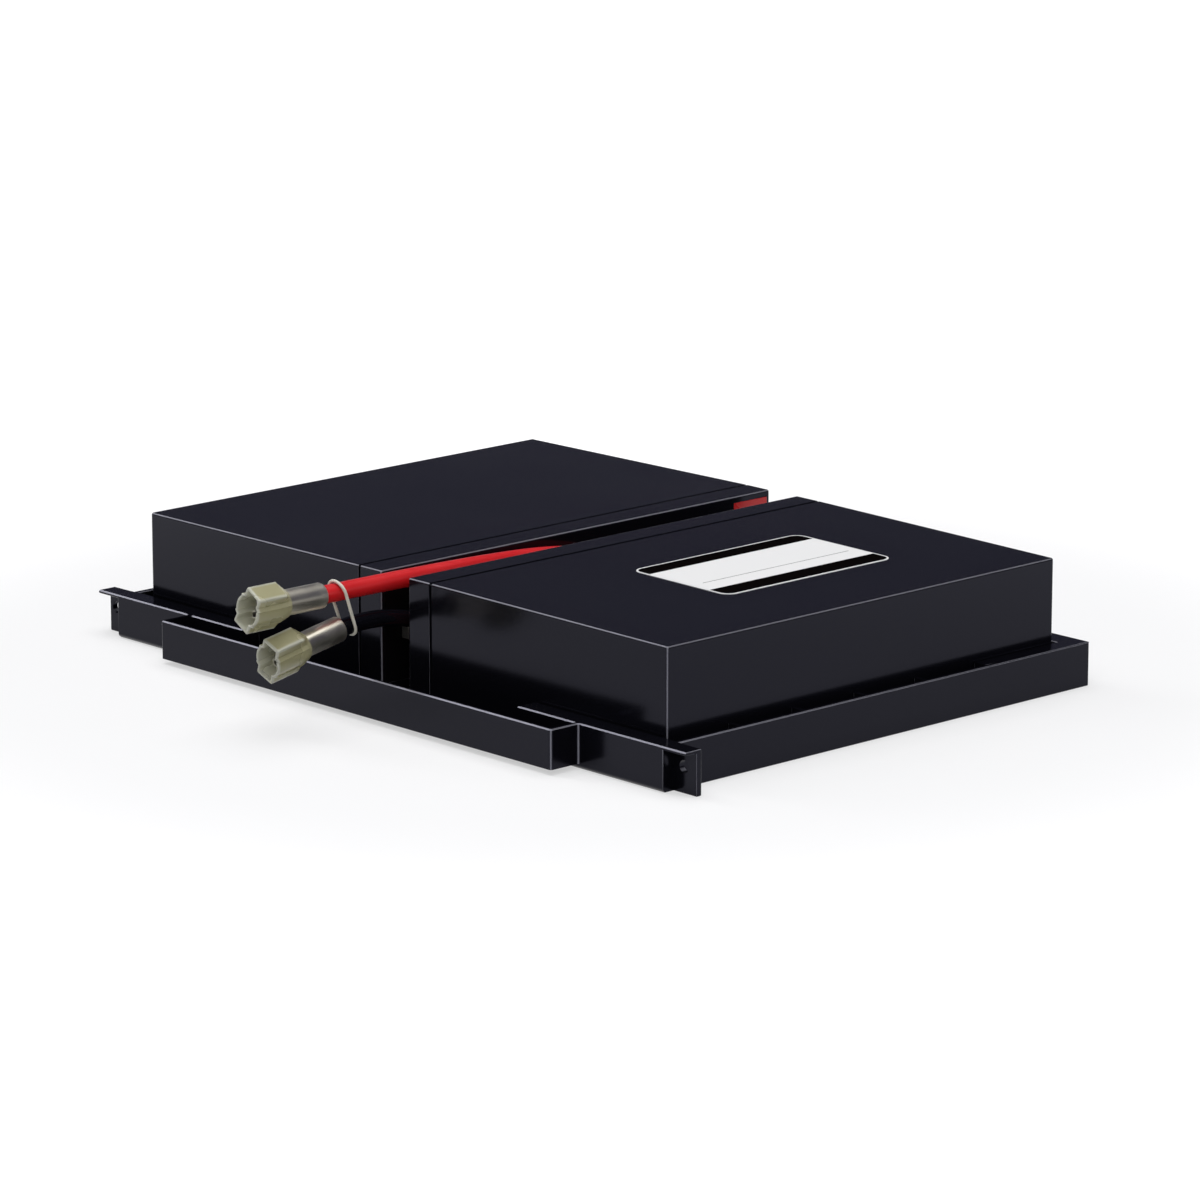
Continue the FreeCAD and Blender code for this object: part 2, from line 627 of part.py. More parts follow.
def plate_stack(side):
    """Positive plates, negative plates and glass mats of the three cells."""
    name = side + "_plates"
    plates = {"positive": [], "negative": []}
    mats = []
    foot = "<battery_height>-<case_bottom>"
    for k in range(3):
        level = "%s+<plate_play>/2" % INNER[0]
        y = (cell_start(k) + "+<plate_side>", "%s+%s-<plate_side>" % (cell_start(k), CELL))
        for n in range(4 * POSITIVES + 1):
            if n % 2:
                mats.append(box("%s_mat_%d_%d" % (name, k, n),
                                ("<plate_top>-<separator_rise>", foot), y,
                                (level, level + "+" + SEPARATOR)))
                level += "+" + SEPARATOR
                continue
            kind = "positive" if n % 4 else "negative"
            thick = "<%s_plate>" % kind
            z = (level, level + "+" + thick)
            plate = box("%s_%s_%d_%d" % (name, kind, k, n),
                        ("<plate_top>", foot + "-<plate_foot>"), y, z)
            lug_y = strap_range(k, kind)
            lug = box("%s_lug_%d_%d" % (name, k, n), ("<plate_top>-<lug_length>", "<plate_top>+1"),
                      (lug_y[0] + "+<lug_side>", lug_y[1] + "-<lug_side>"), z)
            plates[kind].append(fuse("%s_plate_%d_%d" % (name, k, n), [plate, lug]))
            level += "+" + thick
    for kind, several in plates.items():
        seat(group("%s_%s_group" % (name, kind), several), side, kind + "_plates")
    seat(group(name + "_mat_group", mats), side, "separators")


def strap_range(k, kind):
    """Lead strap of a cell along the battery: positive at the low end, negative at the high end."""
    if kind == "positive":
        low = cell_start(k) + "+<strap_side>"
        return (low, low + "+<strap_width>")
    high = "%s+%s-<strap_side>" % (cell_start(k), CELL)
    return (high + "-<strap_width>", high)


def lead_straps(side):
    """Cast straps of the cells, welded through the partitions, and the two posts."""
    name = side + "_straps"
    x = (STRAP_START, STRAP_START + "+<strap_depth>")
    bars = {}
    for k in range(3):
        for kind in ("positive", "negative"):
            bars[k, kind] = box("%s_%s_%d" % (name, kind, k), x, strap_range(k, kind),
                                (INNER[0] + "+<plate_play>/2", INNER[1] + "-<plate_play>/2"))
    solids = []
    for k in range(2):
        wall = "%s+%s" % (cell_start(k), CELL)
        weld = box("%s_weld_%d" % (name, k), WELD_X,
                   (wall + "-<weld_root>", wall + "+<partition>+<weld_root>"), WELD_Z)
        solids.append(fuse("%s_link_%d" % (name, k), [bars[k, "negative"], weld, bars[k + 1, "positive"]]))
    for place, k in (("positive", 0), ("negative", 2)):
        centre = base_middle(place)
        post = box("%s_%s_post" % (name, place), ("<lid_roof>", STRAP_START),
                   (centre + "-<post_width>/2", centre + "+<post_width>/2"),
                   (MIDDLE + "-<post_width>/2", MIDDLE + "+<post_width>/2"))
        solids.append(fuse("%s_%s_end" % (name, place), [bars[k, place], post]))
    seat(group(name + "_group", solids), side, "lead_straps")


def battery(side):
    """Every sub-part of one battery."""
    battery_case(side)
    battery_lid(side)
    vent_parts(side)
    for place in ("positive", "negative"):
        terminal(side, place)
    plate_stack(side)
    lead_straps(side)


def tapes(side):
    """Two strips of foam tape that hold a battery to the tray."""
    sign = "" if side == "right" else "-"
    strips = []
    for number, share in enumerate(("<tape_share>", "(1-<tape_share>)")):
        centre = "%s(<wire_gap>/2+%s*<battery_height>)" % (sign, share)
        strips.append(box("%s_tape_%d" % (side, number),
                          (centre + "-<tape_width>/2", centre + "+<tape_width>/2"),
                          (BATTERY_FRONT + "+<tape_margin>", BATTERY_BACK + "-<tape_margin>"),
                          ("<tray_floor>", "<tray_floor>+<tape_thickness>")))
    node(group(side + "_tape_pair", strips), side + "_tape")


def label():
    """Blank label on the sloping upper face of the right battery."""
    slope = "(<case_fall>/(<battery_height>-<lid_depth>-<lid_groove>))"
    level = "%s-(<label_side>-<lid_depth>-<lid_groove>)*%s" % (BATTERY_TOP, slope)
    plate = add("Part::Box", "label_plate", Length="<label_width>", Width="<label_length>",
                Height="<label_thickness>",
                Placement="placement(vector(<wire_gap>/2+<label_side>;%s+<label_front>;%s);"
                          "rotation(vector(0;1;0);atan(%s)))" % (BATTERY_FRONT, level, slope))
    upright = Vector(0, 0, 1)
    node(rounded("label_rounded", plate, value("label_round"), lambda edge: runs_along(edge, upright)),
         "battery_label")


# ------------------------------------------------------------------------- connectors and leads

def connector_place(which):
    """Placement of a connector: z runs from its mouth back to the lead, y along its long way."""
    return ("placement(vector(0;<%s_mouth_y>;<%s_mouth_z>);rotation(vector(1;0;0);<%s_tilt>)"
            "*rotation(vector(0;1;1);180)*rotation(vector(0;0;1);<%s_roll>))" % ((which,) * 4))


CLIP_MOUTH = "(%s-%s+<tab_thickness>/2-<tab_length>+<spade_length>)" % (
    BATTERY_BACK, base_middle("positive"))
CLIP_BARREL = "(<spade_length>+<clip_neck>)"


def clip_place(side):
    """Placement of a clip on a folded tab: z runs from its mouth to the lead."""
    sign = "-" if side == "left" else ""
    turn = "180" if side == "left" else "0"
    x = "%s(<wire_gap>/2-<tab_stand>-<tab_thickness>/2)" % sign
    return ("placement(vector(%s;%s;%s+%s);rotation(vector(0;1;1);180)"
            "*rotation(vector(1;0;0);180)*rotation(vector(0;0;1);%s))" % (
                x, CLIP_MOUTH, BATTERY_FOOT, MIDDLE, turn))


def boot(which):
    """Boot: flat sides with a round middle, tapered to the sleeve, hollow at its mouth."""
    name = which + "_boot"
    half = "<boot_width>/2"
    flat = box(name + "_flat", ("-<boot_thickness>/2", "<boot_thickness>/2"), ("-" + half, half),
               ("0", "<boot_flat>"))
    tail = add("Part::Wedge", name + "_tail", Xmin="-<boot_thickness>/2", Xmax="<boot_thickness>/2",
               X2min="-<boot_thickness>/2", X2max="<boot_thickness>/2", Zmin="-" + half, Zmax=half,
               Z2min="-<boot_shoulder_half>", Z2max="<boot_shoulder_half>", Ymin="0",
               Ymax="<boot_shoulder>",
               Placement="placement(vector(0;0;<boot_flat>);rotation(vector(1;0;0);90))")
    barrel = rod(name + "_barrel", "<boot_round>", "<boot_flat>")
    cone = add("Part::Cone", name + "_cone", Radius1="<boot_round>", Radius2="<boot_tail>",
               Height="<boot_length>-<boot_flat>", Placement__Base__z="<boot_flat>")
    tools = [
        box(name + "_slot", ("-(<boot_thickness>/2-<boot_wall>)", "<boot_thickness>/2-<boot_wall>"),
            ("-(%s-<boot_wall>)" % half, half + "-<boot_wall>"), ("0", "<boot_mouth>")),
        rod(name + "_bore", "<sleeve_radius>", "<boot_length>"),
    ]
    whole = cut(name + "_hollow", fuse(name + "_solid", [flat, tail, barrel, cone]), tools)
    bind(whole, Placement=connector_place(which))
    node(whole, name)


def sleeve(which, lead_radius):
    """Plated crimp sleeve with a socket for the lead."""
    name = which + "_sleeve"
    end = "(<sleeve_start>+<sleeve_length>)"
    tube = rod(name + "_tube", "<sleeve_radius>", "<sleeve_length>", z="<sleeve_start>")
    socket = rod(name + "_socket", lead_radius + "+<socket_play>", "<sleeve_socket>",
                 z=end + "-<sleeve_socket>")
    whole = cut(name + "_whole", tube, [socket])
    bind(whole, Placement=connector_place(which))
    node(whole, name)


BACK_X = "-(<roll_radius>-<roll_offset>)"


def flat_sheet(name, half, z):
    """Flat part of a receptacle's sheet."""
    return box(name, (BACK_X, BACK_X + "+<spade_sheet>"), ("-" + half, half), z)


def spade(which):
    """Receptacle inside a connector's boot: a flat back with a hollow roll on each side, and a neck."""
    name = which + "_spade"
    start, end = "<spade_start>", "(<spade_start>+<spade_length>)"
    solids = [flat_sheet(name + "_back", "<spade_half>", (start, end)),
              flat_sheet(name + "_neck", "<spade_neck>/2", (end + "-<spade_lap>", "<sleeve_start>"))]
    for hand, sign in (("a", ""), ("b", "-")):
        centre = sign + "<spade_half>"
        ring = rod("%s_roll_%s" % (name, hand), "<roll_radius>", "<spade_length>", "<roll_offset>",
                   centre, start)
        bore = rod("%s_roll_bore_%s" % (name, hand), "<roll_radius>-<spade_sheet>", "<spade_length>",
                   "<roll_offset>", centre, start)
        inward = (centre + "-<roll_gap>", centre) if hand == "a" else (centre, centre + "+<roll_gap>")
        opening = box("%s_roll_gap_%s" % (name, hand), ("-<roll_gap>", "<roll_gap>/4"), inward,
                      (start, end))
        solids.append(cut("%s_roll_cut_%s" % (name, hand), ring, [bore, opening]))
    whole = fuse(name + "_whole", solids)
    bind(whole, Placement=connector_place(which))
    node(whole, name)


def terminal_clip(colour, side):
    """Bare receptacle with a crimp barrel, its tight rolls closed on a battery's folded tab."""
    name = colour + "_terminal_clip"
    end = "<spade_length>"
    solids = [flat_sheet(name + "_back", "<clip_half>", ("0", end)),
              flat_sheet(name + "_neck", "<spade_neck>/2",
                         (end + "-<spade_lap>", CLIP_BARREL + "+<clip_neck>")),
              prism(name + "_barrel", 6, "<clip_barrel>", "<clip_barrel_length>", "<roll_offset>", "0",
                    CLIP_BARREL)]
    for hand, sign in (("a", ""), ("b", "-")):
        solids.append(rod("%s_roll_%s" % (name, hand), "<roll_radius>", "<spade_length>",
                          "<roll_offset>", sign + "<clip_half>"))
    tab_half = "(<tab_width>/2+<socket_play>)"
    slot = box(name + "_slot", (BACK_X + "+<spade_sheet>", "<tab_thickness>/2"),
               ("-" + tab_half, tab_half), ("0", end))
    whole = cut(name + "_whole", fuse(name + "_solid", solids), [slot])
    bind(whole, Placement=clip_place(side))
    return node(whole, name)


def lead_route(side, which, middle, sleeve_run):
    """Points of a lead: from a clip's barrel, through the middle points, into a crimp sleeve."""
    sign = -1 if side == "left" else 1
    start = Vector(sign * number("<wire_gap>/2-<tab_stand>-<tab_thickness>/2-<roll_offset>"),
                   number("%s-%s-<clip_barrel_length>" % (CLIP_MOUTH, CLIP_BARREL)),
                   number("%s+%s" % (BATTERY_FOOT, MIDDLE)))
    tilt = math.radians(value(which + "_tilt"))
    axis = Vector(0, math.cos(tilt), math.sin(tilt))
    end = (Vector(0, value(which + "_mouth_y"), value(which + "_mouth_z"))
           + axis * number("<sleeve_start>+<sleeve_length>-<sleeve_socket>"))
    ahead = start - Vector(0, value("clip_run"), 0)
    bend = [end + axis * sleeve_run] if sleeve_run else []
    return [start, ahead] + [Vector(*p) for p in middle] + bend + [end]


def straight(start, end, radius):
    """Round bar between two points."""
    return Part.makeCylinder(radius, (end - start).Length, start, end - start)


def lead(name, points, radius_name):
    """Insulated lead of straight runs joined by round bends, each BEND_SHARE of the shorter run."""
    radius = value(radius_name)
    solids, here = [], points[0]
    for before, corner, after in zip(points, points[1:], points[2:]):
        into, onward = corner - before, after - corner
        reach = BEND_SHARE * min(into.Length, onward.Length)
        into.normalize()
        onward.normalize()
        turn = into.getAngle(onward)
        if turn < 1e-4:
            continue
        start = corner - into * reach
        solids.append(straight(here, start, radius))
        inward = onward - into
        inward.normalize()
        centre = corner + inward * (reach / math.sin(turn / 2))
        disc = Part.Face(Part.Wire(Part.Circle(start, into, radius).toShape()))
        solids.append(disc.revolve(centre, into.cross(onward), math.degrees(turn)))
        here = corner + onward * reach
    solids.append(straight(here, points[-1], radius))
    feature = doc.addObject("Part::Feature", name + "_tube")
    feature.Shape = solids[0].multiFuse(solids[1:]).removeSplitter()
    return node(feature, name)


def racetrack(top, bottom, high, low):
    """Closed outline of two bends joined by straight strands, in the plane of X and the centres."""
    up = top - bottom
    span = up.Length
    up.normalize()
    across = Vector(1, 0, 0)
    lean = math.asin((high - low) / span)

    def on(centre, radius, sign):
        """Point where a straight strand leaves a bend."""
        return centre + across * (sign * radius * math.cos(lean)) + up * (radius * math.sin(lean))

    right_high, left_high = on(top, high, 1), on(top, high, -1)
    right_low, left_low = on(bottom, low, 1), on(bottom, low, -1)
    return Part.Wire([
        Part.Arc(left_high, top + up * high, right_high).toShape(),
        Part.LineSegment(right_high, right_low).toShape(),
        Part.Arc(right_low, bottom - up * low, left_low).toShape(),
        Part.LineSegment(left_low, left_high).toShape(),
    ])


def tie_loop():
    """Tie round both leads behind the connectors: a strap of square section."""
    half = value("tie_radius")
    high, low = value("tie_round_red"), value("tie_round_black")
    outside = racetrack(TIE_TOP, TIE_BOTTOM, high + half, low + half)
    inside = racetrack(TIE_TOP, TIE_BOTTOM, high - half, low - half)
    normal = (TIE_TOP - TIE_BOTTOM).cross(Vector(1, 0, 0))
    normal.normalize()
    step = normal * half
    solids = []
    for outline in (outside, inside):
        outline.translate(step * -1)
        solids.append(Part.Face(outline).extrude(step * 2))
    feature = doc.addObject("Part::Feature", "tie_strap")
    feature.Shape = solids[0].cut(solids[1])
    return node(feature, "tie_loop")


def write_parts():
    """Check every object, then write each sub-part to its own file."""
    doc.recompute()
    for thing in doc.Objects:
        if "Invalid" in thing.State or "Error" in thing.State:
            raise RuntimeError("%s failed: %s" % (thing.Name, thing.State))
    for name, thing in NODES.items():
        if thing.Shape.isNull() or not thing.Shape.isValid():
            raise RuntimeError("%s has no valid shape" % name)
    os.makedirs("parts", exist_ok=True)
    for name, thing in NODES.items():
        thing.Shape.exportStep("parts/%s.step" % name)
        size = thing.Shape.BoundBox
        print("%-24s solids %2d  x %8.2f %8.2f  y %8.2f %8.2f  z %7.2f %7.2f" % (
            name, len(thing.Shape.Solids), size.XMin, size.XMax, size.YMin, size.YMax,
            size.ZMin, size.ZMax))


tray()
for hand in ("left", "right"):
    battery(hand)
    tapes(hand)
label()
for connector, radius_cell in (("upper", "<red_radius>"), ("lower", "<black_radius>")):
    boot(connector)
    sleeve(connector, radius_cell)
    spade(connector)
terminal_clip("red", "left")
terminal_clip("black", "right")
lead("red_lead", lead_route("left", "upper", RED_MIDDLE, 0), "red_radius")
lead("black_lead", lead_route("right", "lower", BLACK_MIDDLE, value("sleeve_run")), "black_radius")
tie_loop()
write_parts()
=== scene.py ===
"""Dress a UPS battery cartridge: two flat batteries in a moulded tray, with two leads.

Metres, +Z up, -Y to the front, in the frame of the packed model.
"""
import math

import bmesh
import bpy
import numpy as np
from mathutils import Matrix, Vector


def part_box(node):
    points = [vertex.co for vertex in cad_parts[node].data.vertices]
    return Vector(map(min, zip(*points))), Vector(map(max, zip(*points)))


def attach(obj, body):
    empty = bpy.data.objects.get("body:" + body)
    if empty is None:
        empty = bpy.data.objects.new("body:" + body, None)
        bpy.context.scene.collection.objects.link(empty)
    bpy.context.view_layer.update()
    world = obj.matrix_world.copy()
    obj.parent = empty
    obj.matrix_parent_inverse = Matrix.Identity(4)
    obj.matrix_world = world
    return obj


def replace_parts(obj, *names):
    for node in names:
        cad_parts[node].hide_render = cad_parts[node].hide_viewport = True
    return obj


bl_info = {
    "name": "Battery Cartridge",
    "version": (1, 0, 0),
    "blender": (4, 5, 0),
    "location": "View3D > Sidebar > Cartridge",
    "description": "Builds the shells, connectors, leads and label of a rack battery cartridge",
    "category": "Object",
}

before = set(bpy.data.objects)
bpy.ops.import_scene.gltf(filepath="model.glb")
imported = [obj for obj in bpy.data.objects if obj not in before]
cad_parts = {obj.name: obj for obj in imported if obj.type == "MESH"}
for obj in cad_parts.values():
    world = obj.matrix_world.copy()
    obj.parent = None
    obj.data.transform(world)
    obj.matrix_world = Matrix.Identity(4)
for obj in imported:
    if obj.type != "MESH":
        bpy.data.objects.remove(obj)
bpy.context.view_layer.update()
MM = 0.001
SIDES = ("left", "right")
# Edges sharper than this many degrees stay crisp.
SHARP_ANGLE = 32.0
# The seam between lid and case: its distance from the middle plane and its reach to each side, in mm.
SEAM_MIDDLE, SEAM_REACH = 14.9, 1.3

# Joining a CAD node's triangles: distance of equal corners in metres, angle of flat faces in degrees.
JOIN_DISTANCE, FLAT_ANGLE = 2e-6, 0.6
# An edge is bevelled if it is this sharp in degrees, this many bevels long and its faces this many wide.
BEVEL_ANGLE, BEVEL_LENGTHS, BEVEL_WIDTHS = 35.0, 6.0, 2.6
# Bevels of the small pieces, in metres.
BEVELS = {"lid": 0.12 * MM, "cover": 0.15 * MM, "base": 0.12 * MM, "tab": 0.08 * MM, "clip": 0.05 * MM}
# Where the tray's edges stay plain, in mm: half the front trough and its y, the side troughs' x and y.
TROUGH_HALF, TROUGH_Y = 80.0, (-86.5, -72.0)
SIDE_TROUGH_X, SIDE_TROUGH_Y = (108.0, 120.0), (-76.0, 75.0)

# The leads' routes, from the terminal clip forward to the inside of the crimp sleeve.
RED_ROUTE = (
    (-3.05, 55.25, 20.75), (-3.05, 31.25, 20.75), (-1.0, 2.0, 33.1), (0.0, -48.0, 36.4),
    (0.0, -102.35, 36.4),
)
BLACK_ROUTE = (
    (3.05, 55.25, 20.75), (3.05, 31.25, 20.75), (1.525, -13.375, 21.825), (0.0, -58.0, 22.9),
    (0.0, -81.117, 27.876), (0.0, -95.841, 25.014),
)
# Length of each lead along its route, in metres.
RED_LENGTH, BLACK_LENGTH = 0.1595, 0.1517
# Each connector: its mouth's middle (y, z), tilt and roll.  z of its own frame runs from mouth to lead.
CONNECTORS = {
    "upper": ((-123.65, 36.4), 0.0, 30.5),
    "lower": ((-116.75, 20.95), 11.0, 27.0),
}


# ------------------------------------------------------------------------------- user's settings

def length(name, description, millimetres):
    """Property for a length."""
    return bpy.props.FloatProperty(name=name, description=description, default=millimetres * MM,
                                   min=0.0, precision=5, unit="LENGTH")


def colour(name, description, value):
    """Property for a colour."""
    return bpy.props.FloatVectorProperty(name=name, description=description, default=value,
                                         size=3, min=0.0, max=1.0, subtype="COLOR")


class CartridgeSizes(bpy.types.PropertyGroup):
    """Sizes that a user may change."""

    case_round: length("Case rounding", "Radius of the case's outer edges", 0.7)
    case_fall: length("Case fall", "Fall of a case's upper face from the lid to the bottom", 0.75)
    case_taper: length("Case taper", "How far each end of a case comes in towards the bottom", 0.78)
    neck: length("Case neck", "Neck of the case that shows in the seam", 2.5)
    neck_step: length("Neck step", "How far the neck is set in", 0.6)
    mould_edge: length("Mould edge", "Width of the bevel on the tray's sharp edges", 0.27)
    boot_wall: length("Boot wall", "Wall of the nylon boots", 0.8)
    sleeve_round: length("Sleeve rim", "Rounding of the sleeve's rear rim", 0.55)
    red_lead: length("Red lead", "Diameter of the red lead", 5.1)
    black_lead: length("Black lead", "Diameter of the black lead", 4.9)
    tie_width: length("Tie width", "Width of the tie", 0.9)
    label_round: length("Label rounding", "Radius of the label's corners", 3.5)
    lid_band: length("Lid band", "Dark band along the label's edge towards the lid", 6.9)
    far_band: length("Far band", "Dark band along the label's other long edge", 7.6)
    label_margin: length("Label margin", "White outline of the label", 0.55)


class CartridgeColours(bpy.types.PropertyGroup):
    """Colours that a user may change."""

    shell: colour("Shell", "Black plastic of tray and batteries", (0.0034, 0.0034, 0.0052))
    red: colour("Red", "Red lead and positive base", (0.62, 0.012, 0.015))
    black: colour("Black", "Black lead", (0.004, 0.004, 0.006))
    nylon: colour("Nylon", "Boots of the connectors", (0.50, 0.475, 0.275))
    nickel: colour("Nickel", "Crimp sleeves", (0.76, 0.72, 0.60))
    tie: colour("Tie", "Tie round the leads", (0.74, 0.71, 0.60))
    label_white: colour("Label white", "Field of the label", (0.76, 0.76, 0.75))
    label_black: colour("Label black", "Bands of the label", (0.0028, 0.0022, 0.0022))


def sizes():
    """The scene's sizes."""
    return bpy.context.scene.cartridge_sizes


def colours():
    """The scene's colours."""
    return bpy.context.scene.cartridge_colours


# -------------------------------------------------------------------------------------- surfaces

def grid_faces(rows, columns, close_rows=False, close_columns=True):
    """Four-sided faces between neighbouring points of a grid of rows by columns."""
    index = np.arange(rows * columns).reshape(rows, columns)
    if close_rows:
        index = np.vstack([index, index[:1]])
    if close_columns:
        index = np.hstack([index, index[:, :1]])
    quads = [index[:-1, :-1], index[:-1, 1:], index[1:, 1:], index[1:, :-1]]
    return np.stack(quads, axis=-1).reshape(-1, 4)


def signed_volume(points, faces):
    """Volume inside a closed surface: the sum over its faces, split in a fan, of a . (b x c) / 6."""
    total = 0.0
    for face in faces:
        corner = points[list(face)]
        total += np.einsum("ij,ij->", np.broadcast_to(corner[0], corner[1:-1].shape),
                           np.cross(corner[1:-1], corner[2:])) / 6
    return total


def surface(name, points, faces, body="root"):
    """Object of a closed surface given in millimetres, its faces turned outwards."""
    points = np.asarray(points, float).reshape(-1, 3) * MM
    faces = [list(map(int, face)) for face in faces]
    if signed_volume(points, faces) < 0:
        faces = [face[::-1] for face in faces]
    mesh = bpy.data.meshes.new(name)
    mesh.from_pydata(points.tolist(), [], faces)
    mesh.validate()
    piece = bpy.data.objects.new(name, mesh)
    bpy.context.scene.collection.objects.link(piece)
    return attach(piece, body)


def flatten_normals(piece):
    """Let each large face give its own normal to its edges, so that flat faces reflect as flat."""
    modifier = piece.modifiers.new("flat_faces", "WEIGHTED_NORMAL")
    modifier.mode = "FACE_AREA"
    modifier.weight = 100
    modifier.keep_sharp = True


def soften(piece, degrees=SHARP_ANGLE, flat=False):
    """Shade smoothly, with edges sharper than an angle kept crisp."""
    piece.data.shade_smooth()
    piece.data.set_sharp_from_angle(angle=math.radians(degrees))
    if flat:
        flatten_normals(piece)


def rounded_outline(half_y, half_z, radius, steps=6):
    """Rectangle with quarter circles at its corners: rows of y, z."""
    quarter = np.linspace(0.0, math.pi / 2, steps + 1)
    rows = []
    for turn, (side_y, side_z) in enumerate(((1, 1), (-1, 1), (-1, -1), (1, -1))):
        angle = quarter + turn * math.pi / 2
        rows.append(np.column_stack([side_y * (half_y - radius) + radius * np.cos(angle),
                                     side_z * (half_z - radius) + radius * np.sin(angle)]))
    return np.vstack(rows)


def quarter_steps(radius, steps=6):
    """A quarter circle from the side to the end face: rows of travel along the side and inset."""
    angle = np.linspace(0.0, math.pi / 2, steps + 1)
    return np.column_stack([radius * np.sin(angle), radius * (1 - np.cos(angle))])


def local_to_world(points, which):
    """Turn points of a connector's own frame into the object's.

    The own frame is rolled about z, swapped so that z runs to +Y and y to +Z, tilted about X and
    moved to the mouth.
    """
    (mouth_y, mouth_z), tilt, roll = CONNECTORS[which]
    points = np.asarray(points, float)
    shape = points.shape
    points = points.reshape(-1, 3)
    c, s = math.cos(math.radians(roll)), math.sin(math.radians(roll))
    rolled = points @ np.array([[c, s, 0], [-s, c, 0], [0, 0, 1]])
    swapped = np.column_stack([-rolled[:, 0], rolled[:, 2], rolled[:, 1]])
    c, s = math.cos(math.radians(tilt)), math.sin(math.radians(tilt))
    tilted = swapped @ np.array([[1, 0, 0], [0, c, s], [0, -s, c]])
    return (tilted + [0.0, mouth_y, mouth_z]).reshape(shape)


def stays_plain(ends):
    """True for an upright edge in the front trough and an edge across a side trough; ends in mm."""
    upright = abs((ends[0] - ends[1]).normalized().z) > 0.9
    if upright and all(abs(p.x) < TROUGH_HALF and TROUGH_Y[0] < p.y < TROUGH_Y[1] for p in ends):
        return True
    across = abs(ends[0].x - ends[1].x) > 1.0
    return across and all(SIDE_TROUGH_X[0] < abs(p.x) < SIDE_TROUGH_X[1]
                          and SIDE_TROUGH_Y[0] < p.y < SIDE_TROUGH_Y[1] for p in ends)


def wants_bevel(edge, bevel):
    """True for a sharp outer edge that is long, and whose faces are both wider than the bevel."""
    if len(edge.link_faces) != 2 or edge.calc_length() < BEVEL_LENGTHS * bevel or not edge.is_convex:
        return False
    if edge.calc_face_angle() < math.radians(BEVEL_ANGLE):
        return False
    if stays_plain([v.co / MM for v in edge.verts]):
        return False
    return all(face.calc_area() / max(e.calc_length() for e in face.edges) > BEVEL_WIDTHS * bevel
               for face in edge.link_faces)


def joined_copy(node, name, bevel):
    """Copy of a CAD node with its triangles joined, flat faces whole and sharp edges bevelled."""
    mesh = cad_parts[node].data.copy()
    mesh.name = name
    for attribute in ("custom_normal", "sharp_face", "sharp_edge"):
        if attribute in mesh.attributes:
            mesh.attributes.remove(mesh.attributes[attribute])
    shape = bmesh.new()
    shape.from_mesh(mesh)
    bmesh.ops.remove_doubles(shape, verts=shape.verts, dist=JOIN_DISTANCE)
    bmesh.ops.dissolve_limit(shape, angle_limit=math.radians(FLAT_ANGLE), verts=shape.verts,
                             edges=shape.edges)
    weight = shape.edges.layers.float.new("bevel_weight_edge")
    for edge in shape.edges:
        edge[weight] = float(wants_bevel(edge, bevel))
    shape.to_mesh(mesh)
    shape.free()
    mesh.materials.clear()
    mesh.shade_smooth()
    mesh.set_sharp_from_angle(angle=math.radians(SHARP_ANGLE))
    piece = bpy.data.objects.new(name, mesh)
    bpy.context.scene.collection.objects.link(piece)
    if bevel:
        modifier = piece.modifiers.new("mould_edges", "BEVEL")
        modifier.width = bevel
        modifier.segments = 2
        modifier.limit_method = "WEIGHT"
        modifier.miter_outer = "MITER_ARC"
        modifier.use_clamp_overlap = False
    flatten_normals(piece)
    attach(piece, "root")
    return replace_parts(piece, node)


# ------------------------------------------------------------------------------------- materials

class Nodes:
    """Short hand for the nodes of one tree."""

    def __init__(self, tree):
        self.tree = tree

    def add(self, kind, inputs=None, **settings):
        """New node; inputs are values or sockets by name or number."""
        new = self.tree.nodes.new(kind)
        for key, setting in settings.items():
            setattr(new, key, setting)
        for key, given in (inputs or {}).items():
            socket = new.inputs[key]
            if isinstance(given, bpy.types.NodeSocket):
                self.tree.links.new(given, socket)
            else:
                socket.default_value = given
        return new

    def math(self, operation, *values):
        """Value of a Math node."""
        return self.add("ShaderNodeMath", dict(enumerate(values)), operation=operation).outputs[0]

    def mix(self, factor, first, second):
        """Colour between two colours."""
        new = self.add("ShaderNodeMix", {"Factor": factor}, data_type="RGBA")
        for socket, given in ((new.inputs[6], first), (new.inputs[7], second)):
            if isinstance(given, bpy.types.NodeSocket):
                self.tree.links.new(given, socket)
            else:
                socket.default_value = (*given[:3], 1.0)
        return new.outputs[2]

    def ramp(self, value, low, high, out_low=0.0, out_high=1.0):
        """Smooth step of a value between two limits."""
        return self.add("ShaderNodeMapRange", {"Value": value, "From Min": low, "From Max": high,
                                               "To Min": out_low, "To Max": out_high},
                        interpolation_type="SMOOTHSTEP").outputs[0]


def new_group(name, inputs, outputs):
    """Node group with named sockets, and its nodes."""
    tree = bpy.data.node_groups.new(name, "ShaderNodeTree")
    for kind, sockets in (("INPUT", inputs), ("OUTPUT", outputs)):
        for socket_name, socket_type, *default in sockets:
            socket = tree.interface.new_socket(name=socket_name, in_out=kind,
                                               socket_type="NodeSocket" + socket_type)
            if default:
                socket.default_value = default[0]
    nodes = Nodes(tree)
    return nodes, nodes.add("NodeGroupInput"), nodes.add("NodeGroupOutput")


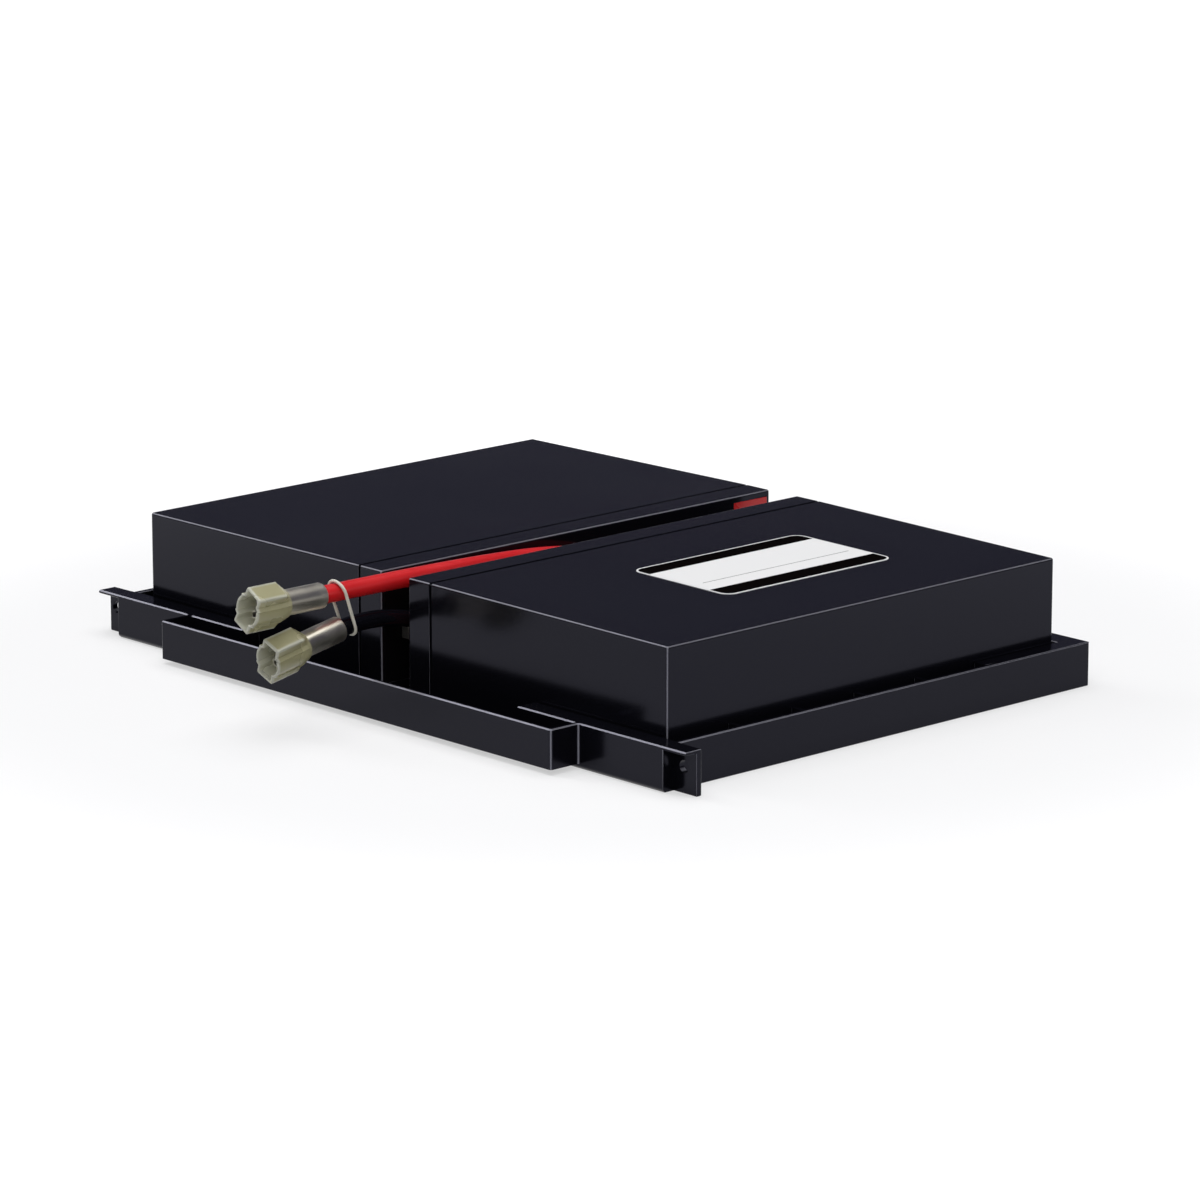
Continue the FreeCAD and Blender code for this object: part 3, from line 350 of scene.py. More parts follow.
def edge_group():
    """Mask of the rounded edges of square-built mouldings: 1 less the normal's largest part."""
    if "rounded_edge" in bpy.data.node_groups:
        return bpy.data.node_groups["rounded_edge"]
    nodes, given, out = new_group("rounded_edge", [("Low", "Float", 0.04), ("High", "Float", 0.22)],
                                  [("Mask", "Float")])
    normal = nodes.add("ShaderNodeTexCoord").outputs["Normal"]
    parts = nodes.add("ShaderNodeSeparateXYZ",
                      {0: nodes.add("ShaderNodeVectorMath", {0: normal}, operation="ABSOLUTE").outputs[0]})
    largest = nodes.math("MAXIMUM", parts.outputs[0], parts.outputs[1])
    largest = nodes.math("MAXIMUM", largest, parts.outputs[2])
    mask = nodes.ramp(nodes.math("SUBTRACT", 1.0, largest), given.outputs["Low"], given.outputs["High"])
    nodes.tree.links.new(mask, out.inputs["Mask"])
    return nodes.tree


def grain_group():
    """Fine and broad unevenness of a surface: a height and a value for colour and roughness."""
    if "uneven_surface" in bpy.data.node_groups:
        return bpy.data.node_groups["uneven_surface"]
    nodes, given, out = new_group(
        "uneven_surface",
        [("Fine Scale", "Float", 900.0), ("Broad Scale", "Float", 18.0), ("Fine Share", "Float", 0.25)],
        [("Height", "Float"), ("Variation", "Float")])
    place = nodes.add("ShaderNodeTexCoord").outputs["Object"]
    fine = nodes.add("ShaderNodeTexNoise", {"Vector": place, "Scale": given.outputs["Fine Scale"],
                                            "Detail": 3.0, "Roughness": 0.6}).outputs[0]
    broad = nodes.add("ShaderNodeTexNoise", {"Vector": place, "Scale": given.outputs["Broad Scale"],
                                             "Detail": 2.0, "Roughness": 0.5}).outputs[0]
    height = nodes.add("ShaderNodeMix", {"Factor": given.outputs["Fine Share"], 2: broad, 3: fine},
                       data_type="FLOAT").outputs[0]
    nodes.tree.links.new(height, out.inputs["Height"])
    nodes.tree.links.new(broad, out.inputs["Variation"])
    return nodes.tree


def new_material(name):
    """Material with a Principled BSDF: the material, its nodes and the shader."""
    material = bpy.data.materials.new(name)
    material.use_nodes = True
    nodes = Nodes(material.node_tree)
    shader = next(n for n in material.node_tree.nodes if n.type == "BSDF_PRINCIPLED")
    return material, nodes, shader


def grained(nodes, shader, roughness, spread, bump, distance, **scales):
    """Feed roughness and a bump from the uneven surface; returns its variation."""
    group = nodes.add("ShaderNodeGroup", node_tree=grain_group())
    for key, number in scales.items():
        group.inputs[key.replace("_", " ").title()].default_value = number
    rough = nodes.ramp(group.outputs["Variation"], 0.3, 0.7, roughness - spread, roughness + spread)
    nodes.tree.links.new(rough, shader.inputs["Roughness"])
    relief = nodes.add("ShaderNodeBump", {"Height": group.outputs["Height"], "Strength": bump,
                                          "Distance": distance})
    nodes.tree.links.new(relief.outputs[0], shader.inputs["Normal"])
    return group.outputs["Variation"]


def material_once(build):
    """Keep a material after it is built the first time."""
    kept = {}

    def get(*given):
        if given not in kept:
            kept[given] = build(*given)
        return kept[given]
    get.__doc__ = build.__doc__
    return get


def outside_seam(nodes):
    """0 on the top edges of the seam between lid and case, where it stays dark, and 1 elsewhere."""
    place = nodes.add("ShaderNodeTexCoord")
    x = nodes.math("ABSOLUTE", nodes.add("ShaderNodeSeparateXYZ", {0: place.outputs["Object"]}).outputs[0])
    middle, reach = SEAM_MIDDLE * MM, SEAM_REACH * MM
    away = nodes.math("ABSOLUTE", nodes.math("SUBTRACT", x, middle))
    normal = nodes.add("ShaderNodeSeparateXYZ", {0: place.outputs["Normal"]})
    front = nodes.ramp(nodes.math("ABSOLUTE", normal.outputs[1]), 0.2, 0.5)
    return nodes.math("MAXIMUM", front, nodes.math("GREATER_THAN", away, reach))


@material_once
def moulded_black(name, roughness, edge):
    """Glossy black moulded plastic, paler along its rounded edges."""
    material, nodes, shader = new_material(name)
    variation = grained(nodes, shader, roughness, 0.012, 0.06, 0.00004, fine_scale=1400.0, broad_scale=14.0,
                        fine_share=0.12)
    # Mask of the painted highlight along the rounded edges; edge sets how strongly it is painted.
    mask = nodes.math("MULTIPLY", nodes.add("ShaderNodeGroup", node_tree=edge_group()).outputs["Mask"],
                      outside_seam(nodes))
    true_normal = nodes.add("ShaderNodeNewGeometry").outputs["True Normal"]
    turned = nodes.add("ShaderNodeVectorTransform", {0: true_normal}, vector_type="NORMAL",
                       convert_from="WORLD", convert_to="OBJECT")
    facing = nodes.add("ShaderNodeSeparateXYZ", {0: turned.outputs[0]}).outputs
    # The painted edge highlight is palest towards the front, and left off where the edges face down.
    mask = nodes.math("MULTIPLY", mask, nodes.ramp(facing[1], -0.5, 0.6, 1.0, 0.25))
    mask = nodes.math("MULTIPLY", mask, nodes.ramp(facing[2], -0.35, -0.12))
    base = colours().shell
    soft = nodes.mix(variation, [c * 0.85 for c in base], [c * 1.15 for c in base])
    # Pale tone of the painted edge highlight.
    pale = (0.55, 0.55, 0.62)
    painted_edge_highlight = nodes.mix(nodes.math("MULTIPLY", mask, edge), soft, pale)
    nodes.tree.links.new(painted_edge_highlight, shader.inputs["Base Color"])
    shader.inputs["Specular IOR Level"].default_value = 0.20
    shader.inputs["Specular Tint"].default_value = (0.68, 0.68, 1.0, 1.0)
    return material


@material_once
def plain_plastic(name, base, roughness, specular):
    """Plastic or rubber of one colour with a little unevenness."""
    material, nodes, shader = new_material(name)
    variation = grained(nodes, shader, roughness, 0.05, 0.15, 0.00008, fine_scale=1100.0, broad_scale=60.0)
    tone = nodes.mix(variation, [c * 0.9 for c in base], [min(1.0, c * 1.1) for c in base])
    nodes.tree.links.new(tone, shader.inputs["Base Color"])
    shader.inputs["Specular IOR Level"].default_value = specular
    return material


@material_once
def plated_metal(name, base, roughness):
    """Plated sheet or sleeve, with fine drawing marks."""
    material, nodes, shader = new_material(name)
    variation = grained(nodes, shader, roughness, 0.06, 0.2, 0.00005, fine_scale=2200.0, broad_scale=140.0)
    tone = nodes.mix(variation, [c * 0.88 for c in base], [min(1.0, c * 1.08) for c in base])
    nodes.tree.links.new(tone, shader.inputs["Base Color"])
    shader.inputs["Metallic"].default_value = 1.0
    return material


@material_once
def cloudy_nylon(name, base):
    """Natural nylon that lets some light through."""
    material, nodes, shader = new_material(name)
    variation = grained(nodes, shader, 0.26, 0.04, 0.12, 0.00008, fine_scale=700.0, broad_scale=90.0)
    tone = nodes.mix(variation, [c * 0.9 for c in base], [min(1.0, c * 1.12) for c in base])
    # Paler from the boot's attribute: a painted highlight on its corners and mouth, and a paler inside.
    pale = nodes.add("ShaderNodeAttribute", attribute_name="pale_edge").outputs["Fac"]
    tone = nodes.mix(nodes.math("MULTIPLY", pale, 0.6), tone, (0.86, 0.88, 0.82))
    nodes.tree.links.new(tone, shader.inputs["Base Color"])
    shader.inputs["Transmission Weight"].default_value = 0.35
    shader.inputs["IOR"].default_value = 1.5
    return material


@material_once
def pasted_lead(name, base):
    """Rough paste or cast lead."""
    material, nodes, shader = new_material(name)
    variation = grained(nodes, shader, 0.7, 0.1, 0.4, 0.0002, fine_scale=1500.0, broad_scale=120.0,
                        fine_share=0.6)
    tone = nodes.mix(variation, [c * 0.75 for c in base], [min(1.0, c * 1.25) for c in base])
    nodes.tree.links.new(tone, shader.inputs["Base Color"])
    return material


@material_once
def label_print():
    """Label film: white outline, dark bands along the long edges, and a rule in the white field."""
    material, nodes, shader = new_material("label_film")
    low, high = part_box("battery_label")
    size, tone = sizes(), colours()
    place = nodes.add("ShaderNodeSeparateXYZ", {0: nodes.add("ShaderNodeTexCoord").outputs["Object"]})
    x, y = place.outputs[0], place.outputs[1]

    def between(value, start, end):
        """1 between two levels."""
        return nodes.math("MULTIPLY", nodes.math("GREATER_THAN", value, start),
                          nodes.math("LESS_THAN", value, end))

    margin = size.label_margin
    left = between(x, low.x + margin, low.x + size.lid_band)
    right = between(x, high.x - size.far_band, high.x - margin)
    bands = nodes.math("MAXIMUM", left, right)
    width, long = (high.x - low.x) / 2, (high.y - low.y) / 2
    radius = size.label_round
    # Distance to the rounded outline: the rectangle's distance with its corners measured from a circle.
    dx = nodes.math("MAXIMUM", nodes.math("SUBTRACT", nodes.math(
        "ABSOLUTE", nodes.math("SUBTRACT", x, (low.x + high.x) / 2)), width - radius), 0.0)
    dy = nodes.math("MAXIMUM", nodes.math("SUBTRACT", nodes.math(
        "ABSOLUTE", nodes.math("SUBTRACT", y, (low.y + high.y) / 2)), long - radius), 0.0)
    square = nodes.math("ADD", nodes.math("MULTIPLY", dx, dx), nodes.math("MULTIPLY", dy, dy))
    inside = nodes.math("LESS_THAN", nodes.math("SQRT", square), radius - margin)
    rule_share, rule_width, rule_start, rule_end = 0.62, 0.30 * MM, 4.5 * MM, 3.5 * MM
    rule_x = low.x + rule_share * (high.x - low.x)
    rule = nodes.math("MULTIPLY", between(x, rule_x, rule_x + rule_width),
                      between(y, low.y + rule_start, high.y - rule_end))
    dark = nodes.math("MAXIMUM", nodes.math("MULTIPLY", bands, inside), nodes.math("MULTIPLY", rule, 0.9))
    nodes.tree.links.new(nodes.mix(dark, tone.label_white, tone.label_black), shader.inputs["Base Color"])
    grain = nodes.add("ShaderNodeGroup", node_tree=grain_group())
    rough = nodes.ramp(grain.outputs["Variation"], 0.3, 0.7, 0.30, 0.38)
    nodes.tree.links.new(rough, shader.inputs["Roughness"])
    shader.inputs["Specular IOR Level"].default_value = 0.0
    return material


def paint(piece, material):
    """Give a piece its only material and name the record's slot."""
    piece.data.materials.clear()
    piece.data.materials.append(material)
    return piece


def paint_node(node, material):
    """Give a CAD node that stays its material."""
    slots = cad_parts[node].data.materials
    slots.clear()
    slots.append(material)


def tray_black():
    """Plastic of the tray."""
    return moulded_black("tray_plastic", 0.15, 0.42)


def case_black():
    """Plastic of the batteries."""
    return moulded_black("case_plastic", 0.15, 0.42)


def tinned():
    """Tin-plated brass of tabs and receptacles."""
    return plated_metal("tinned_brass", (0.74, 0.73, 0.70), 0.28)


# ---------------------------------------------------------------------------------------- pieces

class PieceOperator:
    """What every operator of this file shares."""

    bl_options = {"REGISTER", "UNDO"}


class CARTRIDGE_OT_tray(PieceOperator, bpy.types.Operator):
    """Tray moulding with fine bevels on its edges"""

    bl_idname = "cartridge.tray"
    bl_label = "Tray"

    def execute(self, context):
        tray = joined_copy("tray", "tray_moulding", sizes().mould_edge)
        paint(tray, tray_black())
        return {"FINISHED"}


class CARTRIDGE_OT_cases(PieceOperator, bpy.types.Operator):
    """Battery cases: a rounded outline carried from the glued neck to the rounded bottom"""

    bl_idname = "cartridge.cases"
    bl_label = "Battery Cases"

    def execute(self, context):
        size = sizes()
        radius, step, neck = size.case_round / MM, size.neck_step / MM, size.neck / MM
        fall, taper = size.case_fall / MM, size.case_taper / MM
        groove_edge, least_radius = 0.12, 0.06
        for side in SIDES:
            low, high = (np.array(corner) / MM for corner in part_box(side + "_case"))
            length_x = high[0] - low[0]
            half_y, bottom, top = (high[1] - low[1]) / 2, low[2], high[2]
            rows = [(0.0, step), (neck, step)]
            rows += [(neck + groove_edge * (1 - math.cos(a)), groove_edge * (1 - math.sin(a)))
                     for a in np.linspace(0, math.pi / 2, 4)]
            rows += [(length_x - radius + along, inset) for along, inset in quarter_steps(radius)]
            rings = []
            for along, inset in rows:
                share = max(0.0, along - neck) / (length_x - neck)
                half_z = (top - fall * share - bottom) / 2
                ring = rounded_outline(half_y - taper * share - inset, half_z - inset,
                                       max(radius - inset, least_radius))
                x = low[0] + along if side == "right" else high[0] - along
                rings.append(np.column_stack([np.full(len(ring), x), ring[:, 0] + (low[1] + high[1]) / 2,
                                              ring[:, 1] + bottom + half_z]))
            count = len(rings[0])
            faces = list(grid_faces(len(rings), count))
            faces += [list(range(count)), list(range((len(rings) - 1) * count, len(rings) * count))[::-1]]
            case = surface(side + "_case_shell", np.array(rings), faces)
            soften(case, flat=True)
            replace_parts(case, side + "_case")
            paint(case, case_black())
        return {"FINISHED"}


class CARTRIDGE_OT_lids(PieceOperator, bpy.types.Operator):
    """Battery lids and the cover strips over their vents"""

    bl_idname = "cartridge.lids"
    bl_label = "Battery Lids"

    def execute(self, context):
        for side in SIDES:
            lid = joined_copy(side + "_lid", side + "_lid_shell", BEVELS["lid"])
            paint(lid, case_black())
            cover = joined_copy(side + "_vent_cover", side + "_vent_strip", BEVELS["cover"])
            paint(cover, case_black())
            paint_node(side + "_valve_caps", plain_plastic("valve_rubber", (0.03, 0.03, 0.03), 0.6, 0.3))
        return {"FINISHED"}


class CARTRIDGE_OT_terminals(PieceOperator, bpy.types.Operator):
    """Coloured terminal bases, spade tabs and the clips on them"""

    bl_idname = "cartridge.terminals"
    bl_label = "Terminals"

    def execute(self, context):
        red = plain_plastic("red_plastic", tuple(colours().red), 0.3, 0.4)
        dark = plain_plastic("black_plastic", (0.003, 0.003, 0.004), 0.4, 0.15)
        for side in SIDES:
            base = joined_copy(side + "_positive_base", side + "_positive_patch", BEVELS["base"])
            paint(base, red)
            base = joined_copy(side + "_negative_base", side + "_negative_patch", BEVELS["base"])
            paint(base, dark)
            for place in ("positive", "negative"):
                tab = joined_copy("%s_%s_tab" % (side, place), "%s_%s_blade" % (side, place),
                                  BEVELS["tab"])
                # Tin darkened far below the clips' tinned brass: painted shade on the tabs.
                paint(tab, plated_metal("dull_tin", (0.14, 0.135, 0.125), 0.55))
        for tone in ("red", "black"):
            clip = joined_copy(tone + "_terminal_clip", tone + "_terminal_receptacle", BEVELS["clip"])
            paint(clip, tinned())
        return {"FINISHED"}


class CARTRIDGE_OT_label(PieceOperator, bpy.types.Operator):
    """Label film without print, with rounded corners"""

    bl_idname = "cartridge.label"
    bl_label = "Label"

    def execute(self, context):
        low, high = (np.array(corner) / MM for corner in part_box("battery_label"))
        middle, half = (low + high) / 2, (high - low) / 2
        case_low, case_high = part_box("right_case")
        slope = sizes().case_fall / (case_high.x - case_low.x - sizes().neck)
        thick = high[2] - low[2] - slope * 2 * half[0]
        edge, corner = 0.04, sizes().label_round / MM
        rings = []
        for level, inset in ((0.0, 0.0), (thick - edge, 0.0), (thick, edge)):
            flat = rounded_outline(half[0] - inset, half[1] - inset, corner - inset, 10)
            height = low[2] + level + slope * (half[0] - flat[:, 0])
            rings.append(np.column_stack([flat + middle[:2], height]))
        count = len(rings[0])
        faces = list(grid_faces(len(rings), count))
        faces += [list(range(count))[::-1], list(range(2 * count, 3 * count))]
        label = surface("label_film_sheet", np.array(rings), faces)
        soften(label, flat=True)
        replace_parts(label, "battery_label")
        paint(label, label_print())
        return {"FINISHED"}


def boot_outline(long_half, short_half, round_half, corner):
    """Section of a boot: in each direction the larger of a rounded rectangle and a circle.

    Rows of x, y.  One quarter is drawn along the circle, the flat side, the corner and the end face,
    then mirrored into the other three.
    """
    least = 0.01
    join = math.acos(min(1.0, short_half / round_half))
    turn = np.linspace(0.0, join, 9)[:-1]
    arc = np.column_stack([short_half / np.cos(turn), short_half * np.tan(turn)])
    flat_start = short_half * math.tan(join)
    corner_start = max(long_half - corner, flat_start + 2 * least)
    corner_rise = max(long_half - corner_start, least)
    side = np.linspace(flat_start, corner_start, 5)[:-1]
    flat = np.column_stack([np.full(4, short_half), side])
    bend = np.linspace(0.0, math.pi / 2, 6)
    round_corner = np.column_stack([short_half - corner * (1 - np.cos(bend)),
                                    corner_start + corner_rise * np.sin(bend)])
    far = round_corner[-1]
    face = np.column_stack([np.linspace(far[0], 0.0, 5)[1:], np.full(4, far[1])])
    quarter = np.vstack([arc, flat, round_corner, face])
    half = np.vstack([quarter, (quarter * [-1, 1])[::-1][1:]])
    whole = np.vstack([half, (half * [1, -1])[::-1][1:-1]])
    reach = np.linalg.norm(whole, axis=1)
    return whole * (np.maximum(reach, round_half) / reach)[:, None]


class CARTRIDGE_OT_boots(PieceOperator, bpy.types.Operator):
    """Nylon boots: a section of flat sides and a round middle, carried round the wall as one closed skin"""

    bl_idname = "cartridge.boots"
    bl_label = "Connector Boots"

    def execute(self, context):
        wall = sizes().boot_wall / MM
        long_half, short_half, round_half = 6.0, 3.1, 4.65
        flat_end, shoulder_end, end, tail, bore, mouth = 10.2, 12.4, 12.8, 4.2, 3.6, 9.4
        rim, corner, lip = wall / 2, 0.4, 0.3
        lip_step, taper_overlap, taper_power, near = lip * 0.3, 0.5, 0.85, 0.01

        def section(inset):
            """Outline set in from the outer one."""
            return boot_outline(long_half - inset, short_half - inset, round_half - inset, corner)

        full, inner = section(0.0), section(wall)
        compass = full / np.linalg.norm(full, axis=1)[:, None]
        rows = [(end, compass * bore), (end, compass * (tail - lip)),
                (end - lip_step, compass * (tail - lip_step))]
        for share in np.linspace(0.0, 1.0, 9):
            z = shoulder_end - share * (shoulder_end - flat_end + taper_overlap)
            drop = share ** taper_power
            rows.append((z, compass * tail * (1 - drop) + full * drop))
        rows += [(z, full) for z in (9.0, 6.0, 3.0, 1.0)]
        for turn in np.linspace(0.0, math.pi, 7):
            rows.append((rim * (1 - math.sin(turn)), section(rim * (1 - math.cos(turn)))))
        rows += [(z, inner) for z in (1.5, 6.0, mouth)]
        rows += [(mouth + 0.02, compass * bore), (mouth + 0.6, compass * bore)]
        rings = np.array([np.column_stack([ring, np.full(len(ring), z)]) for z, ring in rows])
        depth, across, along = rings[:, :, 2], np.abs(rings[:, :, 0]), np.abs(rings[:, :, 1])
        # Painted highlight along the corners, palest round the mouth; paler inside as well.
        corner_highlight, pale_inside, mouth_highlight = 0.8, 0.9, 1.0
        near_corner = (along > long_half - corner - near) & (across > short_half - corner - near)
        pale = np.where(near_corner, corner_highlight, 0.0)
        pale[-6:] = pale_inside
        pale[depth < rim + near] = mouth_highlight
        for which in CONNECTORS:
            points = local_to_world(rings, which)
            faces = grid_faces(len(rings), len(rings[0]), close_rows=True)
            boot = surface(which + "_boot_shell", points, faces)
            attribute = boot.data.attributes.new("pale_edge", "FLOAT", "POINT")
            attribute.data.foreach_set("value", pale.ravel().astype(np.float32))
            soften(boot, 24)
            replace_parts(boot, which + "_boot")
            paint(boot, cloudy_nylon("boot_nylon", tuple(colours().nylon)))
        return {"FINISHED"}


class CARTRIDGE_OT_sleeves(PieceOperator, bpy.types.Operator):
    """Plated crimp sleeves turned from one outline"""

    bl_idname = "cartridge.sleeves"
    bl_label = "Crimp Sleeves"

    def execute(self, context):
        radius, start, end, socket, rim = 3.6, 9.9, 26.3, 5.0, sizes().sleeve_round / MM
        front_edge, hole_edge, play = 0.25, 0.12, 0.1
        angle = np.linspace(0, 2 * math.pi, 72, endpoint=False)
        for which, lead in (("upper", sizes().red_lead), ("lower", sizes().black_lead)):
            hole = lead / MM / 2 + play
            rows = [(start, radius - front_edge), (start + front_edge, radius), (end - rim, radius)]
            rows += [(end - rim + rim * math.sin(a), radius - rim * (1 - math.cos(a)))
                     for a in np.linspace(0, math.pi / 2, 7)[1:]]
            rows += [(end, hole + hole_edge), (end - hole_edge, hole), (end - socket, hole)]
            rings = [np.column_stack([r * np.cos(angle), r * np.sin(angle), np.full(len(angle), z)])
                     for z, r in rows]
            points = local_to_world(np.array(rings), which)
            count = len(angle)
            faces = list(grid_faces(len(rings), count))
            faces += [list(range(count))[::-1],
                      list(range((len(rings) - 1) * count, len(rings) * count))]
            sleeve = surface(which + "_crimp_sleeve", points, faces)
            soften(sleeve)
            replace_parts(sleeve, which + "_sleeve")
            paint(sleeve, plated_metal("nickel_sleeve", tuple(colours().nickel), 0.38))
        return {"FINISHED"}


class CARTRIDGE_OT_spades(PieceOperator, bpy.types.Operator):
    """Rolled spade receptacles inside the boots: a strip of sheet carried along its rolled outline"""

    bl_idname = "cartridge.spades"
    bl_label = "Spade Receptacles"

    def execute(self, context):
        sheet, half, radius, back, lift = 0.5, 2.35, 1.0, -0.75, 0.25
        start, end, neck_half, neck_end, neck_overlap = 3.8, 8.8, 2.8, 9.9, 1.0
        roll_past = math.radians(88)
        for which in CONNECTORS:
            turn = np.linspace(math.pi, -roll_past, 22)
            roll = np.column_stack([lift + radius * np.cos(turn), half + radius * np.sin(turn)])
            flat = np.column_stack([np.full(9, back), np.linspace(-half, half, 11)[1:-1]])
            path = np.vstack([(roll * [1, -1])[::-1], flat, roll])
            step = np.gradient(path, axis=0)
            step /= np.linalg.norm(step, axis=1)[:, None]
            aside = np.column_stack([-step[:, 1], step[:, 0]]) * sheet / 2
            rings = []
            for point, off in zip(path, aside):
                rings.append([[*(point + off), start], [*(point - off), start],
                              [*(point - off), end], [*(point + off), end]])
            faces = list(grid_faces(len(path), 4))
            last = 4 * (len(path) - 1)
            faces += [[3, 2, 1, 0], [last, last + 1, last + 2, last + 3]]
            neck = [[back + side * sheet / 2, y, z] for z in (end - neck_overlap, neck_end)
                    for side, y in ((-1, -neck_half), (1, -neck_half), (1, neck_half), (-1, neck_half))]
            first = 4 * len(path)
            faces += [[first + n for n in face] for face in (
                (0, 3, 2, 1), (4, 5, 6, 7), (0, 1, 5, 4), (1, 2, 6, 5), (2, 3, 7, 6), (3, 0, 4, 7))]
            points = local_to_world(np.vstack([np.array(rings).reshape(-1, 3), neck]), which)
            spade = surface(which + "_receptacle", points, faces)
            soften(spade)
            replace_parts(spade, which + "_spade")
            paint(spade, tinned())
        return {"FINISHED"}


def route_curve(name, route, diameter, material):
    """Lead as a NURBS curve with the route's points as its control points."""
    curve = bpy.data.curves.new(name, "CURVE")
    curve.dimensions = "3D"
    curve.resolution_u = 12
    spline = curve.splines.new("NURBS")
    spline.points.add(len(route) - 1)
    for point, place in zip(spline.points, route):
        point.co = (*(v * MM for v in place), 1.0)
        point.radius = diameter / 2
    spline.order_u = 3
    spline.use_endpoint_u = True
    curve.bevel_depth = 1.0
    curve.bevel_resolution = 12
    curve.use_fill_caps = True
    piece = bpy.data.objects.new(name, curve)
    bpy.context.scene.collection.objects.link(piece)
    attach(piece, "root")
    curve.materials.append(material)
    return piece


class CARTRIDGE_OT_leads(PieceOperator, bpy.types.Operator):
    """Red and black lead, declared with the pieces on them"""

    bl_idname = "cartridge.leads"
    bl_label = "Leads"

    def execute(self, context):
        for tone, which, route, size, run, rough, shine in (
                ("red", "upper", RED_ROUTE, sizes().red_lead, RED_LENGTH, 0.36, 0.45),
                ("black", "lower", BLACK_ROUTE, sizes().black_lead, BLACK_LENGTH, 0.10, 0.14)):
            material = plain_plastic(tone + "_insulation", tuple(getattr(colours(), tone)), rough, shine)
            lead = route_curve(tone + "_lead_cord", route, size, material)
            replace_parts(lead, tone + "_lead")
        return {"FINISHED"}


class CARTRIDGE_OT_tie(PieceOperator, bpy.types.Operator):
    """Tie round both leads: a round section carried round a long loop"""

    bl_idname = "cartridge.tie"
    bl_label = "Tie"

    def execute(self, context):
        top, bottom = np.array([0.0, -91.3, 36.4]), np.array([0.0, -87.8, 26.58])
        high, low = 3.4, 3.05
        up = (top - bottom) / np.linalg.norm(top - bottom)
        across = np.array([1.0, 0.0, 0.0])
        lean = math.asin((high - low) / np.linalg.norm(top - bottom))
        arc_high = np.linspace(math.pi + lean, -lean, 24)
        arc_low = np.linspace(-lean, -math.pi + lean, 24)
        loop = []
        for centre, radius, arc in ((top, high, arc_high), (bottom, low, arc_low)):
            loop.append(centre + radius * (np.cos(arc)[:, None] * across + np.sin(arc)[:, None] * up))
        share = np.linspace(0, 1, 10)[1:-1, None]
        right = loop[0][-1] * (1 - share) + loop[1][0] * share
        left = loop[1][-1] * (1 - share) + loop[0][0] * share
        path = np.vstack([loop[0], right, loop[1], left])
        ahead = np.roll(path, -1, axis=0) - np.roll(path, 1, axis=0)
        ahead /= np.linalg.norm(ahead, axis=1)[:, None]
        along = np.cross(across, up)
        outward = np.cross(ahead, along)
        angle = np.linspace(0, 2 * math.pi, 16, endpoint=False)
        wide, thick = sizes().tie_width / MM / 2, 0.45
        rings = (path[:, None, :] + wide * np.sin(angle)[None, :, None] * along
                 + thick * np.cos(angle)[None, :, None] * outward[:, None, :])
        tie = surface("tie_strand", rings, grid_faces(len(path), len(angle), close_rows=True))
        soften(tie)
        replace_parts(tie, "tie_loop")
        paint(tie, plain_plastic("tie_nylon", tuple(colours().tie), 0.42, 0.4))
        return {"FINISHED"}


class CARTRIDGE_OT_cells(PieceOperator, bpy.types.Operator):
    """Plates, glass mats, lead straps and foam tape inside and under the batteries"""

    bl_idname = "cartridge.cells"
    bl_label = "Cells and Tape"

    def execute(self, context):
        oxide = pasted_lead("lead_oxide", (0.15, 0.08, 0.05))
        lead = pasted_lead("lead_metal", (0.30, 0.31, 0.33))
        mat = pasted_lead("glass_mat", (0.78, 0.78, 0.76))
        foam = plain_plastic("foam_tape", (0.05, 0.05, 0.05), 0.85, 0.2)
        for side in SIDES:
            for node, material in (("positive_plates", oxide), ("negative_plates", lead),
                                   ("lead_straps", lead), ("separators", mat), ("tape", foam)):
                paint_node("%s_%s" % (side, node), material)
        return {"FINISHED"}


